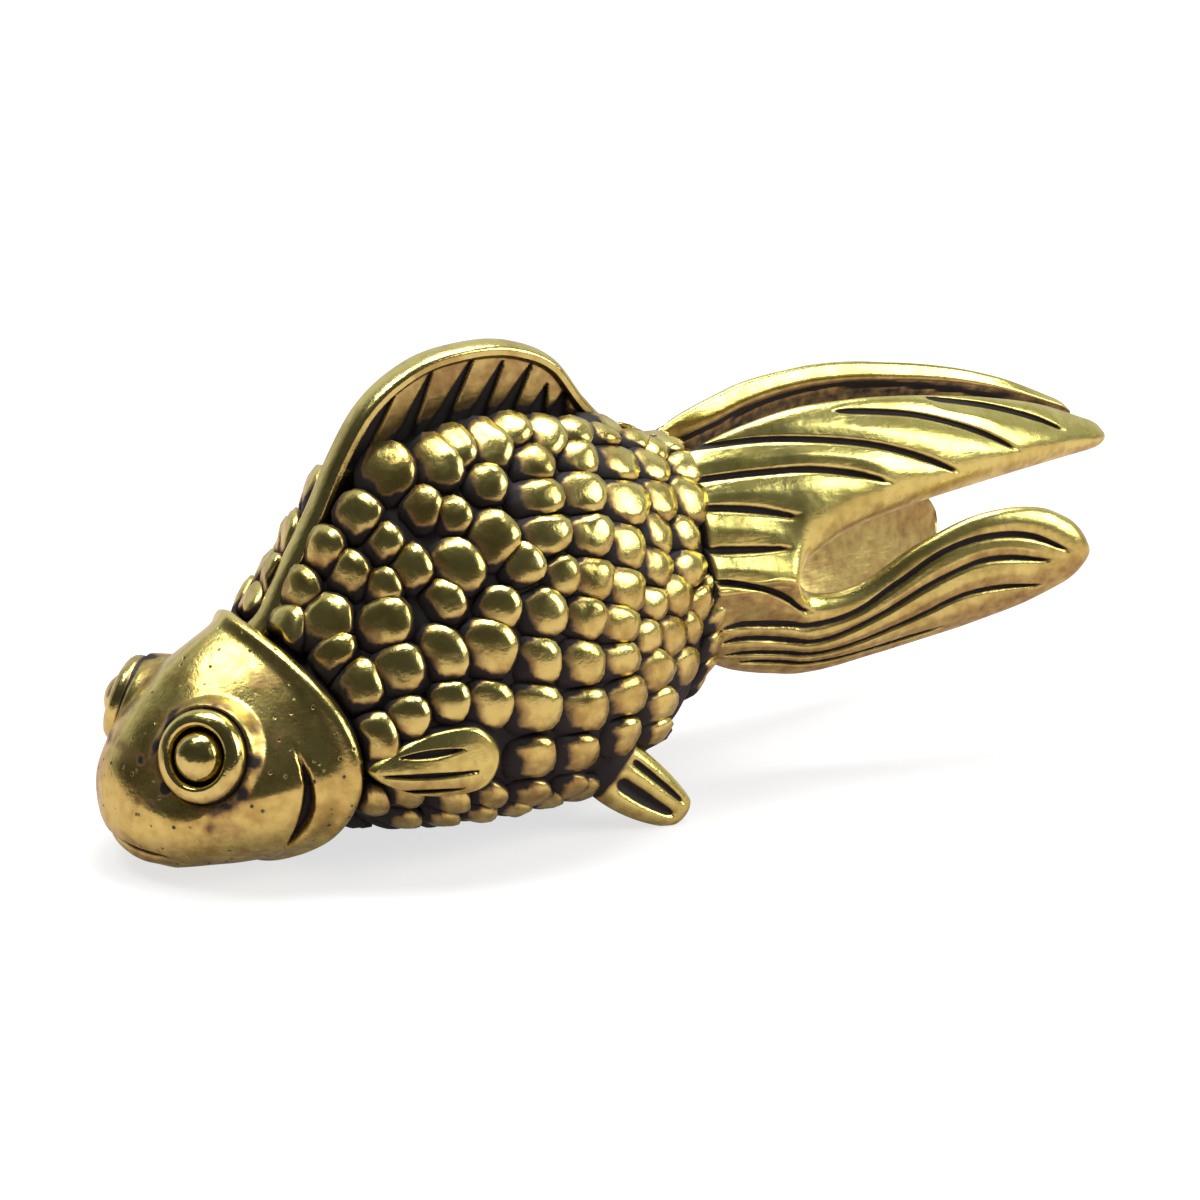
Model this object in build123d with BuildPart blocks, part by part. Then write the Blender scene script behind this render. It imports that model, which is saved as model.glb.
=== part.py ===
from build123d import *
import os
from math import copysign, cos, radians, sin

# A goldfish ornament in solid brass, in millimetres, made as separate castings that plug together.
# The head points to -X and the tail to +X, +Z is up and the fish stands on the plane Z = 0.
# The origin is under the middle of the whole fish. Left is the fish's own left, the -Y flank.

# Lengths from the snout to the ends of the head's rim, on to the tail root, and on to the tail tips
head_length = 6.1
body_length = 21.2
tail_length = 20.5

# Fits between the castings
fit_gap = 0.05
overrun = 1.0

# Trunk
body_width = 15.9
body_height = 17.5
scale_height = 0.45
scale_root = 0.3
scale_tilt = 9.0
smallest_scale = 0.4
scale_margin = 0.15

# Neck spigot between trunk and head
spigot_diameter = 5.0
spigot_length = 3.0
spigot_height = 4.6

# Head
head_width = 13.8
head_height = 10.8
rim_bulge = 2.4
rim_height = 10.0
gill_depth = 0.45
gill_width = 0.5
mouth_depth = 0.3
mouth_width = 0.22

# Eyes
eye_height = 5.6
eye_spacing = 7.6
eye_behind_snout = 2.85
eye_ring_diameter = 3.75
eye_ring_bore = 2.3
eye_ring_height = 0.9
eye_seat_depth = 0.7
socket_rise = 0.25
socket_margin = 0.4
socket_taper = 12
pupil_diameter = 1.8
pupil_height = 1.15
pupil_stem_depth = 1.3
eye_ring_round = 0.34
pupil_round = 0.75

# Back fin: how far its crest stands above the highest point of the trunk, then its other sizes
fin_rise = 2.5
fin_thickness = 1.5
fin_rim = 0.75
fin_recess = 0.3
fin_tongue = 0.9
fin_panel_depth = 0.15
ray_width = 0.42
ray_depth = 0.16
fin_ray_length = 2.7

# Tail
tail_root_gap = 0.05
tail_spread = 12.2
tail_top = 15.9
root_width = 6.6
lobe_thickness = 1.3
lobe_bow = 0.35
right_lobe_droop = 1.8
tenon_diameter = 4.6
tenon_length = 2.6
tenon_height = 9.9

# Paired fins
paddle_length = 5.5
paddle_width = 3.0
paddle_proud = 0.75
paddle_seat = 0.6
paddle_round = 0.2
paddle_groove_width = 0.22
foot_length = 4.1
foot_width = 2.7
foot_thickness = 1.5
foot_root_depth = 1.2

overall_length = head_length + body_length + tail_length
snout_x = -overall_length / 2
neck_x = snout_x + head_length
tail_x = neck_x + body_length
tail_start = tail_x + tail_root_gap
tail_end = tail_x + tail_length
fin_height = body_height + fin_rise

# A scale's radius at its top and at its root, as shares of its radius on the skin
scale_top_share = 0.82
scale_root_share = 1.1
# Raised scales of a flank: share of the trunk's length, turn in degrees from the back down the flank,
# and radius as a share of the trunk's length
flank_scale_places = [
    (0.065, 22.7, 0.044), (0.105, 18.7, 0.044), (0.105, 47.3, 0.037), (0.115, 37.3, 0.052),
    (0.130, 60.0, 0.043), (0.130, 114.7, 0.029), (0.135, 81.3, 0.040), (0.155, 22.7, 0.044),
    (0.170, 34.7, 0.046), (0.185, 111.3, 0.038), (0.195, 52.7, 0.047), (0.195, 64.0, 0.047),
    (0.195, 78.0, 0.036), (0.210, 26.7, 0.045), (0.210, 45.3, 0.026), (0.230, 37.3, 0.038),
    (0.260, 46.0, 0.042), (0.270, 78.7, 0.032), (0.275, 22.0, 0.053), (0.275, 66.7, 0.045),
    (0.280, 120.7, 0.026), (0.295, 56.0, 0.039), (0.305, 35.3, 0.035), (0.330, 51.3, 0.050),
    (0.340, 84.7, 0.043), (0.345, 40.7, 0.031), (0.355, 70.7, 0.052), (0.355, 120.7, 0.025),
    (0.360, 26.0, 0.050), (0.385, 64.0, 0.037), (0.395, 24.7, 0.038), (0.405, 50.0, 0.049),
    (0.420, 36.0, 0.036), (0.430, 90.0, 0.051), (0.430, 104.7, 0.047), (0.440, 123.3, 0.040),
    (0.445, 57.3, 0.040), (0.445, 78.7, 0.046), (0.455, 26.0, 0.048), (0.465, 68.7, 0.045),
    (0.500, 52.0, 0.046), (0.505, 43.3, 0.045), (0.510, 22.7, 0.037), (0.515, 62.0, 0.034),
    (0.520, 34.0, 0.041), (0.530, 107.3, 0.044), (0.535, 82.7, 0.048), (0.535, 92.7, 0.051),
    (0.535, 126.0, 0.036), (0.555, 72.7, 0.042), (0.575, 26.0, 0.036), (0.580, 64.7, 0.042),
    (0.595, 54.7, 0.044), (0.600, 44.0, 0.045), (0.620, 33.3, 0.040), (0.620, 84.7, 0.047),
    (0.625, 76.7, 0.046), (0.635, 25.3, 0.031), (0.635, 94.0, 0.048), (0.640, 106.7, 0.041),
    (0.650, 69.3, 0.047), (0.670, 59.3, 0.047), (0.695, 46.7, 0.051), (0.700, 82.0, 0.035),
    (0.705, 34.0, 0.049), (0.710, 23.3, 0.026), (0.720, 74.0, 0.034), (0.720, 90.7, 0.045),
    (0.740, 64.0, 0.044), (0.740, 104.0, 0.039), (0.745, 115.3, 0.025), (0.765, 54.7, 0.038),
    (0.765, 83.3, 0.044), (0.790, 73.3, 0.041), (0.800, 42.0, 0.039), (0.810, 96.7, 0.042),
    (0.815, 27.3, 0.041), (0.830, 86.0, 0.028), (0.840, 67.3, 0.038), (0.850, 56.0, 0.030),
    (0.855, 15.3, 0.025), (0.865, 80.7, 0.027), (0.885, 42.7, 0.044), (0.905, 26.0, 0.039),
    (0.910, 86.7, 0.034),
]
# Rows of scales on the belly: turn, first share, last share and pitch as a share of the trunk's length
belly_scale_rows = [
    (133, 0.20, 0.60, 0.075),
    (148, 0.12, 0.86, 0.078),
    (161, 0.16, 0.84, 0.078),
    (173, 0.14, 0.82, 0.078),
]
belly_scale_share = 0.037

# Trunk stations: share of the body length, then shares of half width, of height to the back and
# of height to the belly, then the height of the widest line between the two
body_shares = [
    (0.000, 0.65, 0.515, 0.080, 0.50),
    (0.061, 0.75, 0.560, 0.085, 0.48),
    (0.132, 0.85, 0.700, 0.070, 0.42),
    (0.198, 0.91, 0.850, 0.058, 0.38),
    (0.274, 0.96, 0.935, 0.046, 0.37),
    (0.415, 1.00, 1.000, 0.036, 0.37),
    (0.580, 0.96, 1.000, 0.034, 0.38),
    (0.698, 0.86, 0.965, 0.046, 0.40),
    (0.792, 0.74, 0.885, 0.075, 0.42),
    (0.863, 0.62, 0.845, 0.118, 0.45),
    (0.915, 0.53, 0.825, 0.180, 0.48),
    (0.962, 0.465, 0.805, 0.270, 0.50),
    (1.000, 0.43, 0.790, 0.335, 0.50),
]
# How round the section is above and below its widest line: 2 is an ellipse, less is more pointed
back_power_shares = [(0.0, 1.9), (0.07, 1.6), (0.15, 1.3), (0.25, 1.4), (0.42, 1.8), (0.6, 2.0), (1.0, 2.0)]
belly_power_shares = [(0.0, 2.2), (0.2, 2.5), (0.6, 2.5), (0.8, 2.3), (1.0, 2.0)]

# Head stations: share of the head length, then as for the trunk
head_shares = [
    (0.000, 0.04, 0.310, 0.210, 0.50),
    (0.033, 0.19, 0.390, 0.130, 0.50),
    (0.115, 0.36, 0.480, 0.060, 0.50),
    (0.246, 0.52, 0.590, 0.010, 0.50),
    (0.443, 0.68, 0.710, -0.010, 0.48),
    (0.672, 0.81, 0.820, -0.010, 0.46),
    (0.967, 0.91, 0.915, 0.000, 0.45),
    (1.230, 0.97, 0.970, 0.020, 0.45),
    (1.450, 1.00, 1.000, 0.030, 0.45),
]
head_back_power = 1.95
head_belly_power = 2.2

# Back fin outline: shares of the body length and of the fin height, from the front foot to the rear
fin_shares = [
    (-0.030, 0.420), (0.045, 0.490), (0.100, 0.595), (0.155, 0.700), (0.198, 0.795),
    (0.255, 0.890), (0.360, 0.972), (0.480, 1.000), (0.590, 0.990), (0.680, 0.940),
    (0.740, 0.855), (0.800, 0.790), (0.870, 0.750),
]
fin_ray_shares = [0.27, 0.345, 0.42, 0.495, 0.56, 0.62, 0.675]
fin_ray_lean = 22.0

# Tail lobe stations: share of the tail length, then shares of half the spread and of the tail top
# for the upper edge and for the lower edge
upper_lobe_shares = [
    (0.000, 0.26, 0.915, 0.52, 0.630),
    (0.083, 0.30, 0.960, 0.59, 0.595),
    (0.220, 0.35, 1.000, 0.64, 0.640),
    (0.390, 0.38, 1.000, 0.656, 0.700),
    (0.600, 0.33, 0.955, 0.557, 0.723),
    (0.800, 0.265, 0.868, 0.393, 0.723),
    (0.960, 0.20, 0.785, 0.22, 0.745),
    (1.000, 0.18, 0.772, 0.19, 0.758),
]
lower_lobe_shares = [
    (0.000, 0.55, 0.630, 0.26, 0.345),
    (0.063, 0.59, 0.579, 0.295, 0.300),
    (0.176, 0.656, 0.516, 0.36, 0.264),
    (0.298, 0.72, 0.553, 0.46, 0.294),
    (0.434, 0.80, 0.640, 0.574, 0.333),
    (0.576, 0.885, 0.692, 0.705, 0.384),
    (0.700, 0.95, 0.685, 0.82, 0.440),
    (0.775, 0.984, 0.630, 0.93, 0.510),
    (0.800, 0.99, 0.595, 0.97, 0.555),
]
# Thickness of a lobe along the tail, as shares of the full thickness
lobe_thickness_shares = [(0.0, 1.25), (0.2, 1.0), (0.5, 0.9), (0.8, 0.7), (1.0, 0.3)]
# Where the ray grooves run across a lobe, from its lower edge at -1 to its upper edge at 1
lobe_groove_shares = [-0.55, 0.0, 0.55]
# Tail root stations: share of the tail length, then shares of half the root width, and of the tail
# top for its upper and its lower end
root_shares = [
    (0.000, 1.00, 0.880, 0.365),
    (0.070, 1.05, 0.910, 0.350),
    (0.150, 0.92, 0.850, 0.420),
    (0.210, 0.62, 0.760, 0.520),
    (0.250, 0.20, 0.690, 0.590),
]

# Paddle outline: shares of its length and width, over the top to the rear and back along the bottom
paddle_shares = [
    [(-0.50, 0.04), (-0.28, 0.30), (0.02, 0.47), (0.32, 0.44), (0.50, 0.03)],
    [(0.50, 0.03), (0.33, -0.42), (0.02, -0.47), (-0.30, -0.28), (-0.50, 0.04)],
]
paddle_at_share = 0.24
paddle_turn = 98.8
paddle_groove_shares = [0.18, -0.04, -0.24]
paddle_groove_length_shares = [0.42, 0.62, 0.46]
paddle_groove_back_share = 0.08

# Foot fins: where they leave the belly, then how they point
foot_at_share = 0.66
foot_turn = 129.0
foot_aim_shares = (0.70, -0.14, -0.70)
foot_width_way_shares = (0.71, 0.06, 0.70)
foot_width_shares = [(0.0, 0.95), (0.3, 1.0), (0.6, 0.8), (0.85, 0.5), (1.0, 0.3)]

# Where the two grooves run across the foot fin, from -1 to 1
foot_groove_shares = [-0.38, 0.38]

# Direction that the left eye looks along
eye_aim_shares = (-0.74, 0.60, 0.30)

# Gill slit in side view: shares of the head length and height, upper end, middle, lower end
gill_shares = [(1.03, 0.555), (1.07, 0.42), (0.90, 0.21)]
# Mouth line in side view: its corner and the snout
mouth_shares = [(0.40, 0.085), (-0.10, 0.130)]

ring_points = 24
blade_points = 12
body_stations = 13
nudge_share = 0.002


def follow(rows, share, column=1):
    """One column of a table at a share of the length, on a smooth curve through its rows."""
    at = [row[0] for row in rows]
    value = [row[column] for row in rows]
    rise = [(b - a) / (q - p) for a, b, p, q in zip(value, value[1:], at, at[1:])]
    slope = [rise[0]] + [(a + b) / 2 for a, b in zip(rise, rise[1:])] + [rise[-1]]
    i = 0
    while i < len(rise) - 1 and at[i + 1] < share:
        i += 1
    step = at[i + 1] - at[i]
    t = (share - at[i]) / step
    start = value[i] * (1 + 2 * t) * (1 - t) ** 2 + step * slope[i] * t * (1 - t) ** 2
    end = value[i + 1] * t * t * (3 - 2 * t) - step * slope[i + 1] * t * t * (1 - t)
    return start + end


def squeezed(value, power):
    """The sine or cosine of a turn, reshaped so that a ring of such points is a rounded box or a diamond."""
    return copysign(abs(value) ** (2 / power), value)


def ring_point(turn, half_width, top, low, middle_share, back_power, belly_power):
    """Point of a trunk or head section: turn in degrees from the back, down the left flank."""
    middle = low + (top - low) * middle_share
    across, along = sin(radians(turn)), cos(radians(turn))
    power = back_power if along > 0 else belly_power
    reach = top - middle if along > 0 else middle - low
    return -half_width * squeezed(across, power), middle + reach * squeezed(along, power)


def body_ring(share, turn):
    """Bare trunk surface in its cross-section, without scales."""
    return ring_point(
        turn,
        body_width / 2 * follow(body_shares, share, 1),
        body_height * follow(body_shares, share, 2),
        body_height * follow(body_shares, share, 3),
        follow(body_shares, share, 4),
        follow(back_power_shares, share),
        follow(belly_power_shares, share),
    )


def body_skin(share, turn):
    """Point on the bare trunk surface."""
    return Vector(neck_x + body_length * share, *body_ring(share, turn))


def body_normal(share, turn):
    """Outward direction of the bare trunk surface, and the direction round the trunk."""
    lengthwise = body_skin(share + nudge_share, turn) - body_skin(share - nudge_share, turn)
    around = body_skin(share, turn + 1) - body_skin(share, turn - 1)
    return around.cross(lengthwise).normalized(), around.normalized()


def body_plane(share, turn, sink=0.0):
    """Plane lying on the trunk, Z outward and Y up the flank, sunk into it by a distance."""
    outward, around = body_normal(share, turn)
    return Plane(origin=body_skin(share, turn) - outward * sink, x_dir=(-around).cross(outward), z_dir=outward)


def head_ring(share, turn, inset=0.0):
    """Head surface in its cross-section, or a surface that lies inside it by a distance."""
    top = head_height * follow(head_shares, share, 2) - inset
    low = head_height * follow(head_shares, share, 3) + inset
    half = head_width / 2 * follow(head_shares, share, 1) - inset
    return ring_point(turn, half, top, low, follow(head_shares, share, 4), head_back_power, head_belly_power)


def turns(count):
    """Evenly spread turns in degrees."""
    return [360 * i / count for i in range(count)]


def rim_region(shift, far_x):
    """Side-on region that ends at the curved rim of the head, drawn towards far_x."""
    top = (neck_x + shift, rim_height)
    low = (neck_x + shift, 0)
    with BuildSketch(Plane.XZ) as region:
        with BuildLine():
            ThreePointArc(top, (neck_x + rim_bulge + shift, rim_height / 2), low)
            Polyline(
                low,
                (neck_x + shift, -body_height),
                (far_x, -body_height),
                (far_x, 2 * body_height),
                (neck_x + shift, 2 * body_height),
                top,
            )
        make_face()
    return region.sketch


def pushed(points, distance):
    """An open outline moved sideways, to its left where the distance is positive."""
    moved = []
    for i, (x, z) in enumerate(points):
        before, after = points[max(i - 1, 0)], points[min(i + 1, len(points) - 1)]
        run, rise = after[0] - before[0], after[1] - before[1]
        length = (run ** 2 + rise ** 2) ** 0.5
        moved.append((x - distance * rise / length, z + distance * run / length))
    return moved


def back_line(depth, rear_share, front_share):
    """Points in side view that lie a depth under the ridge of the trunk, from the rear to the front."""
    shares = [rear_share + (front_share - rear_share) * i / body_stations for i in range(body_stations + 1)]
    return [(neck_x + body_length * share, body_skin(share, 0).Z - depth) for share in shares]


def fin_crest():
    """Side-on upper outline of the back fin, from its front to its rear."""
    return [(neck_x + body_length * x, fin_height * z) for x, z in fin_shares]


def fin_outline(growth=0.0):
    """Side-on outline of the back fin with the tongue under it, grown by a distance."""
    crest = pushed(fin_crest(), growth)
    seat = back_line(fin_tongue + growth, fin_shares[-1][0], fin_shares[0][0])
    with BuildSketch(Plane.XZ) as outline:
        with BuildLine():
            Spline(*crest)
            Line(crest[-1], seat[0])
            Spline(*seat)
            Line(seat[-1], crest[0])
        make_face()
    return outline.sketch


def fin_panel(y):
    """Sunk face of the back fin at a distance from its middle, inside its rim and above the trunk."""
    crest = pushed(fin_crest(), -fin_rim)
    trunk = back_line(fin_panel_depth, 1, 0)
    with BuildSketch(Plane.XZ.offset(-y)) as panel:
        with BuildLine():
            Spline(*crest)
            Polyline(crest[-1], (crest[-1][0], 0), (crest[0][0], 0), crest[0])
        make_face()
        with BuildLine():
            Spline(*trunk)
            Polyline(trunk[-1], (neck_x, -overrun), (tail_x, -overrun), trunk[0])
        make_face(mode=Mode.SUBTRACT)
    return panel.sketch


def blade_ring(half_width, half_thickness, bow=0.0):
    """Points of a thin blade section: wide along X and bowed towards +Y."""
    points = []
    for turn in turns(blade_points):
        across, outward = cos(radians(turn)), sin(radians(turn))
        points.append((half_width * across, half_thickness * outward + bow * outward ** 2))
    return points


def foot_plane():
    """Plane across the left foot fin where it leaves the belly, Z along the fin and X across it."""
    aim = Vector(*foot_aim_shares).normalized()
    width_way = Vector(*foot_width_way_shares)
    start = body_skin(foot_at_share, foot_turn)
    return Plane(origin=start, x_dir=width_way - aim * width_way.dot(aim), z_dir=aim)


def foot_blank(growth=0.0):
    """Left foot fin before its tip is cut flat, grown by a distance."""
    start = -foot_root_depth - growth
    with BuildPart() as blank:
        for share, width_share in foot_width_shares:
            half_width = foot_width / 2 * width_share + growth
            half_thickness = foot_thickness / 2 * width_share + growth
            with BuildSketch(foot_plane().offset(start + (foot_length - start) * share)):
                with BuildLine():
                    Spline(*blade_ring(half_width, half_thickness), periodic=True)
                make_face()
        loft()
    return blank.part


def foot_grooves():
    """Two tapering grooves between the three ridges of the left foot fin."""
    start = -foot_root_depth
    cuts = []
    for place in foot_groove_shares:
        with BuildPart() as groove:
            for share, width_share in foot_width_shares[1:]:
                across = foot_width / 2 * width_share * place
                outward = foot_thickness / 2 * width_share * (1 - place ** 2) ** 0.5
                with BuildSketch(foot_plane().offset(start + (foot_length - start) * share)):
                    with Locations((across, outward)):
                        Rectangle(ray_width * width_share, ray_width * width_share, rotation=45)
            loft()
        cuts.append(groove.part)
    return cuts


def paddle_outline(growth=0.0):
    """Outline of the left paddle, drawn on the floor of its seat in the flank, grown by a distance."""
    length, width = paddle_length + 2 * growth, paddle_width + 2 * growth
    upper, lower = [[(length * x, width * y) for x, y in row] for row in paddle_shares]
    with BuildSketch(body_plane(paddle_at_share, paddle_turn, paddle_seat)) as outline:
        with BuildLine():
            Spline(*upper, tangents=[(0, 1), (0, -1)])
            Spline(*lower, tangents=[(0, -1), (0, 1)])
        make_face()
    return outline.sketch


def lobe_frame(row, side, droop):
    """Middle of a lobe section, half of its chord and its outward direction, in the section's plane."""
    share, upper_y, upper_z, lower_y, lower_z = row
    upper = Vector(side * tail_spread / 2 * upper_y, tail_top * upper_z - droop * share)
    lower = Vector(side * tail_spread / 2 * lower_y, tail_top * lower_z - droop * share)
    chord = (upper - lower) / 2
    return (upper + lower) / 2, chord, Vector(side * chord.Y, -side * chord.X) / chord.length


def lobe(rows, side, droop=0.0):
    """One lobe of the tail, on the -Y side for side -1, its tip lowered by droop."""
    with BuildPart() as blade:
        for row in rows:
            middle, chord, outward = lobe_frame(row, side, droop)
            thick = follow(lobe_thickness_shares, row[0])
            ring = blade_ring(1, lobe_thickness / 2 * thick, lobe_bow * thick)
            points = [middle + chord * across + outward * height for across, height in ring]
            with BuildSketch(Plane.YZ.offset(tail_start + (tail_end - tail_start) * row[0])):
                with BuildLine():
                    Spline(*[(point.X, point.Y) for point in points], periodic=True)
                make_face()
        loft()
    return blade.part


def lobe_grooves(rows, side, droop=0.0):
    """Ray grooves along the outer side of a lobe, each a thin tapering diamond bar."""
    cuts = []
    for place in lobe_groove_shares:
        with BuildPart() as groove:
            for row in rows[:-2]:
                middle, chord, outward = lobe_frame(row, side, droop)
                thick = follow(lobe_thickness_shares, row[0])
                rise = (1 - place ** 2) ** 0.5
                height = lobe_thickness / 2 * thick * rise + lobe_bow * thick * rise ** 2
                centre = middle + chord * place + outward * height
                with BuildSketch(Plane.YZ.offset(tail_start + (tail_end - tail_start) * row[0])):
                    with Locations((centre.X, centre.Y)):
                        Rectangle(ray_width * thick, ray_width * thick, rotation=45)
            loft()
        cuts.append(groove.part)
    return cuts


def tail_half(side, droop):
    """One half of the double tail: two lobes, the root that joins them and half of the tenon."""
    upper = lobe(upper_lobe_shares, side)
    lower = lobe(lower_lobe_shares, side, droop)
    grooves = lobe_grooves(upper_lobe_shares, side) + lobe_grooves(lower_lobe_shares, side, droop)
    with BuildPart() as half:
        for share, half_width, top, low in root_shares:
            with BuildSketch(Plane.YZ.offset(tail_start + (tail_end - tail_start) * share)):
                with Locations((0, tail_top * (top + low) / 2)):
                    Ellipse(root_width / 2 * half_width, tail_top * (top - low) / 2)
        loft()
        add(upper)
        add(lower)
        with BuildSketch(Plane.YZ.offset(tail_x - tenon_length)):
            with Locations((0, tenon_height)):
                Circle(tenon_diameter / 2)
        extrude(amount=tenon_length + tail_root_gap + overrun)
        add(grooves, mode=Mode.SUBTRACT)
        split(bisect_by=Plane.XZ.offset(-side * fit_gap / 2), keep=Keep.TOP if side < 0 else Keep.BOTTOM)
    return half.part


def eye_plane(side):
    """Plane across the eye's axis at the head's surface, Z outward, for side -1 on the left."""
    outward = Vector(*eye_aim_shares)
    outward.Y = side * outward.Y
    middle = (snout_x + eye_behind_snout, side * eye_spacing / 2, eye_height)
    return Plane(origin=middle, x_dir=Vector(0, 0, 1).cross(outward), z_dir=outward)


def head_blank(inset=0.0):
    """Head before its cuts, or the same shape inset by a distance."""
    with BuildPart() as blank:
        for row in head_shares:
            with BuildSketch(Plane.YZ.offset(snout_x + head_length * row[0])):
                with BuildLine():
                    Spline(*[head_ring(row[0], turn, inset) for turn in turns(ring_points)], periodic=True)
                make_face()
        loft()
    return blank.part


def inside(point, plane, half_length, half_width):
    """Whether a point of the skin lies in an oval on a plane."""
    local = plane.to_local_coords(point)
    return (local.X / half_length) ** 2 + (local.Y / half_width) ** 2 < 1


def scale_fits(share, turn, radius):
    """Whether a scale at this place stays clear of the rim, the fins, the tail and its mirror image."""
    point = body_skin(share, turn)
    margin = radius + scale_margin
    rim_radius = ((rim_height / 2) ** 2 + rim_bulge ** 2) / (2 * rim_bulge)
    rim_centre = Vector(neck_x + rim_bulge - rim_radius, point.Y, rim_height / 2)
    clear_of_rim = (point - rim_centre).length > rim_radius + margin
    clear_of_fin = turn > 90 or -point.Y > fin_thickness / 2 + margin
    clear_of_tail = point.X + margin < tail_x
    clear_of_twin = turn < 90 or -point.Y > margin
    paddle_plane = body_plane(paddle_at_share, paddle_turn)
    on_paddle = inside(point, paddle_plane, paddle_length / 2 + margin, paddle_width / 2 + margin)
    on_foot = inside(point, foot_plane(), foot_width / 2 + margin, foot_thickness / 2 + margin)
    free = not (on_paddle or (on_foot and turn > 90))
    return clear_of_rim and clear_of_fin and clear_of_tail and clear_of_twin and free


def scale_places():
    """The raised scales of the left flank: share of the length, turn, and radius of each on the skin,
    drawn in until it fits between what is beside it."""
    wished = list(flank_scale_places)
    for turn, first, last, pitch in belly_scale_rows:
        count = int((last - first) / pitch)
        wished += [(first + pitch * i, turn, belly_scale_share) for i in range(count)]
    fitting = []
    for share, turn, radius_share in wished:
        radius = body_length * radius_share
        while radius > smallest_scale and not scale_fits(share, turn, radius):
            radius *= 0.9
        if radius > smallest_scale:
            fitting.append((share, turn, radius))
    places = []
    for share, turn, radius in fitting:
        point = body_skin(share, turn)
        room = radius
        for other_share, other_turn, other_radius in fitting:
            apart = (body_skin(other_share, other_turn) - point).length
            if apart > 0:
                room = min(room, 0.96 * apart * radius / (radius + other_radius))
        if room > smallest_scale:
            places.append((share, turn, room))
    return places


def scale(share, turn, radius):
    """One raised scale: a low tapered disc rooted in the trunk, its rear edge standing prouder."""
    disc = Cone(
        radius * scale_root_share,
        radius * scale_top_share,
        scale_root + scale_height,
        align=(Align.CENTER, Align.CENTER, Align.MIN),
    )
    return body_plane(share, turn, scale_root) * Rotation(0, -scale_tilt, 0) * disc


def both_flanks(pieces):
    """The left pieces and their mirror images on the right flank."""
    return [*pieces, *[mirror(piece, about=Plane.XZ) for piece in pieces]]


def head_cut(profile, inset):
    """Groove in the head's skin under a side-on profile, as deep as the inset."""
    core = head_blank(inset)
    with BuildPart() as groove:
        extrude(profile, amount=head_width, both=True)
        add(core, mode=Mode.SUBTRACT)
    return groove.part


def gill_profile():
    """Side-on crescent of the gill slit."""
    top, middle, low = [(snout_x + head_length * x, head_height * z) for x, z in gill_shares]
    with BuildSketch(Plane.XZ) as crescent:
        with BuildLine():
            ThreePointArc(top, middle, low)
            ThreePointArc(low, (middle[0] - gill_width, middle[1]), top)
        make_face()
    return crescent.sketch


def mouth_profile():
    """Side-on wedge of the mouth line, a point at its corner and widest at the snout."""
    corner, front = [(snout_x + head_length * x, head_height * z) for x, z in mouth_shares]
    with BuildSketch(Plane.XZ) as wedge:
        with BuildLine():
            Polyline(corner, front, (front[0], front[1] + mouth_width), corner)
        make_face()
    return wedge.sketch


def fin_rays(y):
    """Wedges of the dark grooves that rise from the foot of the back fin, at a distance from its middle."""
    lean = radians(fin_ray_lean)
    with BuildSketch(Plane.XZ.offset(-y)) as rays:
        for share in fin_ray_shares:
            foot = Vector(neck_x + body_length * share, body_skin(share, 0).Z)
            tip = foot + Vector(sin(lean), cos(lean)) * fin_ray_length
            side = Vector(ray_width / 2, 0)
            with BuildLine():
                Polyline(foot - side, foot + side, tip, close=True)
            make_face()
    return rays.sketch


def paddle_grooves():
    """Slots in the outer face of the left paddle."""
    plane = body_plane(paddle_at_share, paddle_turn)
    with BuildSketch(plane.offset(paddle_proud - ray_depth)) as slots:
        for height, length in zip(paddle_groove_shares, paddle_groove_length_shares):
            with Locations((-paddle_length * paddle_groove_back_share, paddle_width * height)):
                SlotOverall(paddle_length * length, paddle_groove_width)
    return slots.sketch


os.makedirs("parts", exist_ok=True)

scales = both_flanks([scale(*place) for place in scale_places()])
front_of_rim = rim_region(fit_gap, snout_x - overrun)
fin_slot = fin_outline(fit_gap)
foot_pockets = both_flanks([foot_blank(fit_gap)])
with BuildPart() as paddle_pocket:
    extrude(paddle_outline(fit_gap), amount=paddle_seat + paddle_proud + overrun)
paddle_pockets = both_flanks([paddle_pocket.part])

with BuildPart() as body:
    for i in range(body_stations):
        share = i / (body_stations - 1)
        with BuildSketch(Plane.YZ.offset(neck_x + body_length * share)):
            with BuildLine():
                Spline(*[body_ring(share, turn) for turn in turns(ring_points)], periodic=True)
            make_face()
    loft()
    extrude(front_of_rim, amount=body_width, both=True, mode=Mode.SUBTRACT)
    add(paddle_pockets, mode=Mode.SUBTRACT)
    add(foot_pockets, mode=Mode.SUBTRACT)
    extrude(fin_slot, amount=fin_thickness / 2 + fit_gap, both=True, mode=Mode.SUBTRACT)
    with BuildSketch(Plane.YZ.offset(neck_x + rim_bulge - spigot_length)):
        with Locations((0, spigot_height)):
            Circle(spigot_diameter / 2)
    extrude(amount=spigot_length + overrun)
    with BuildSketch(Plane.YZ.offset(tail_x - tenon_length - fit_gap)):
        with Locations((0, tenon_height)):
            Circle(tenon_diameter / 2 + fit_gap)
    extrude(amount=tenon_length + fit_gap + overrun, mode=Mode.SUBTRACT)
    add(scales, clean=False)

behind_rim = rim_region(0, tail_x)
gill_grooves = head_cut(gill_profile(), gill_depth)
mouth_groove = head_cut(mouth_profile(), mouth_depth)
plain_head = head_blank()

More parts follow.
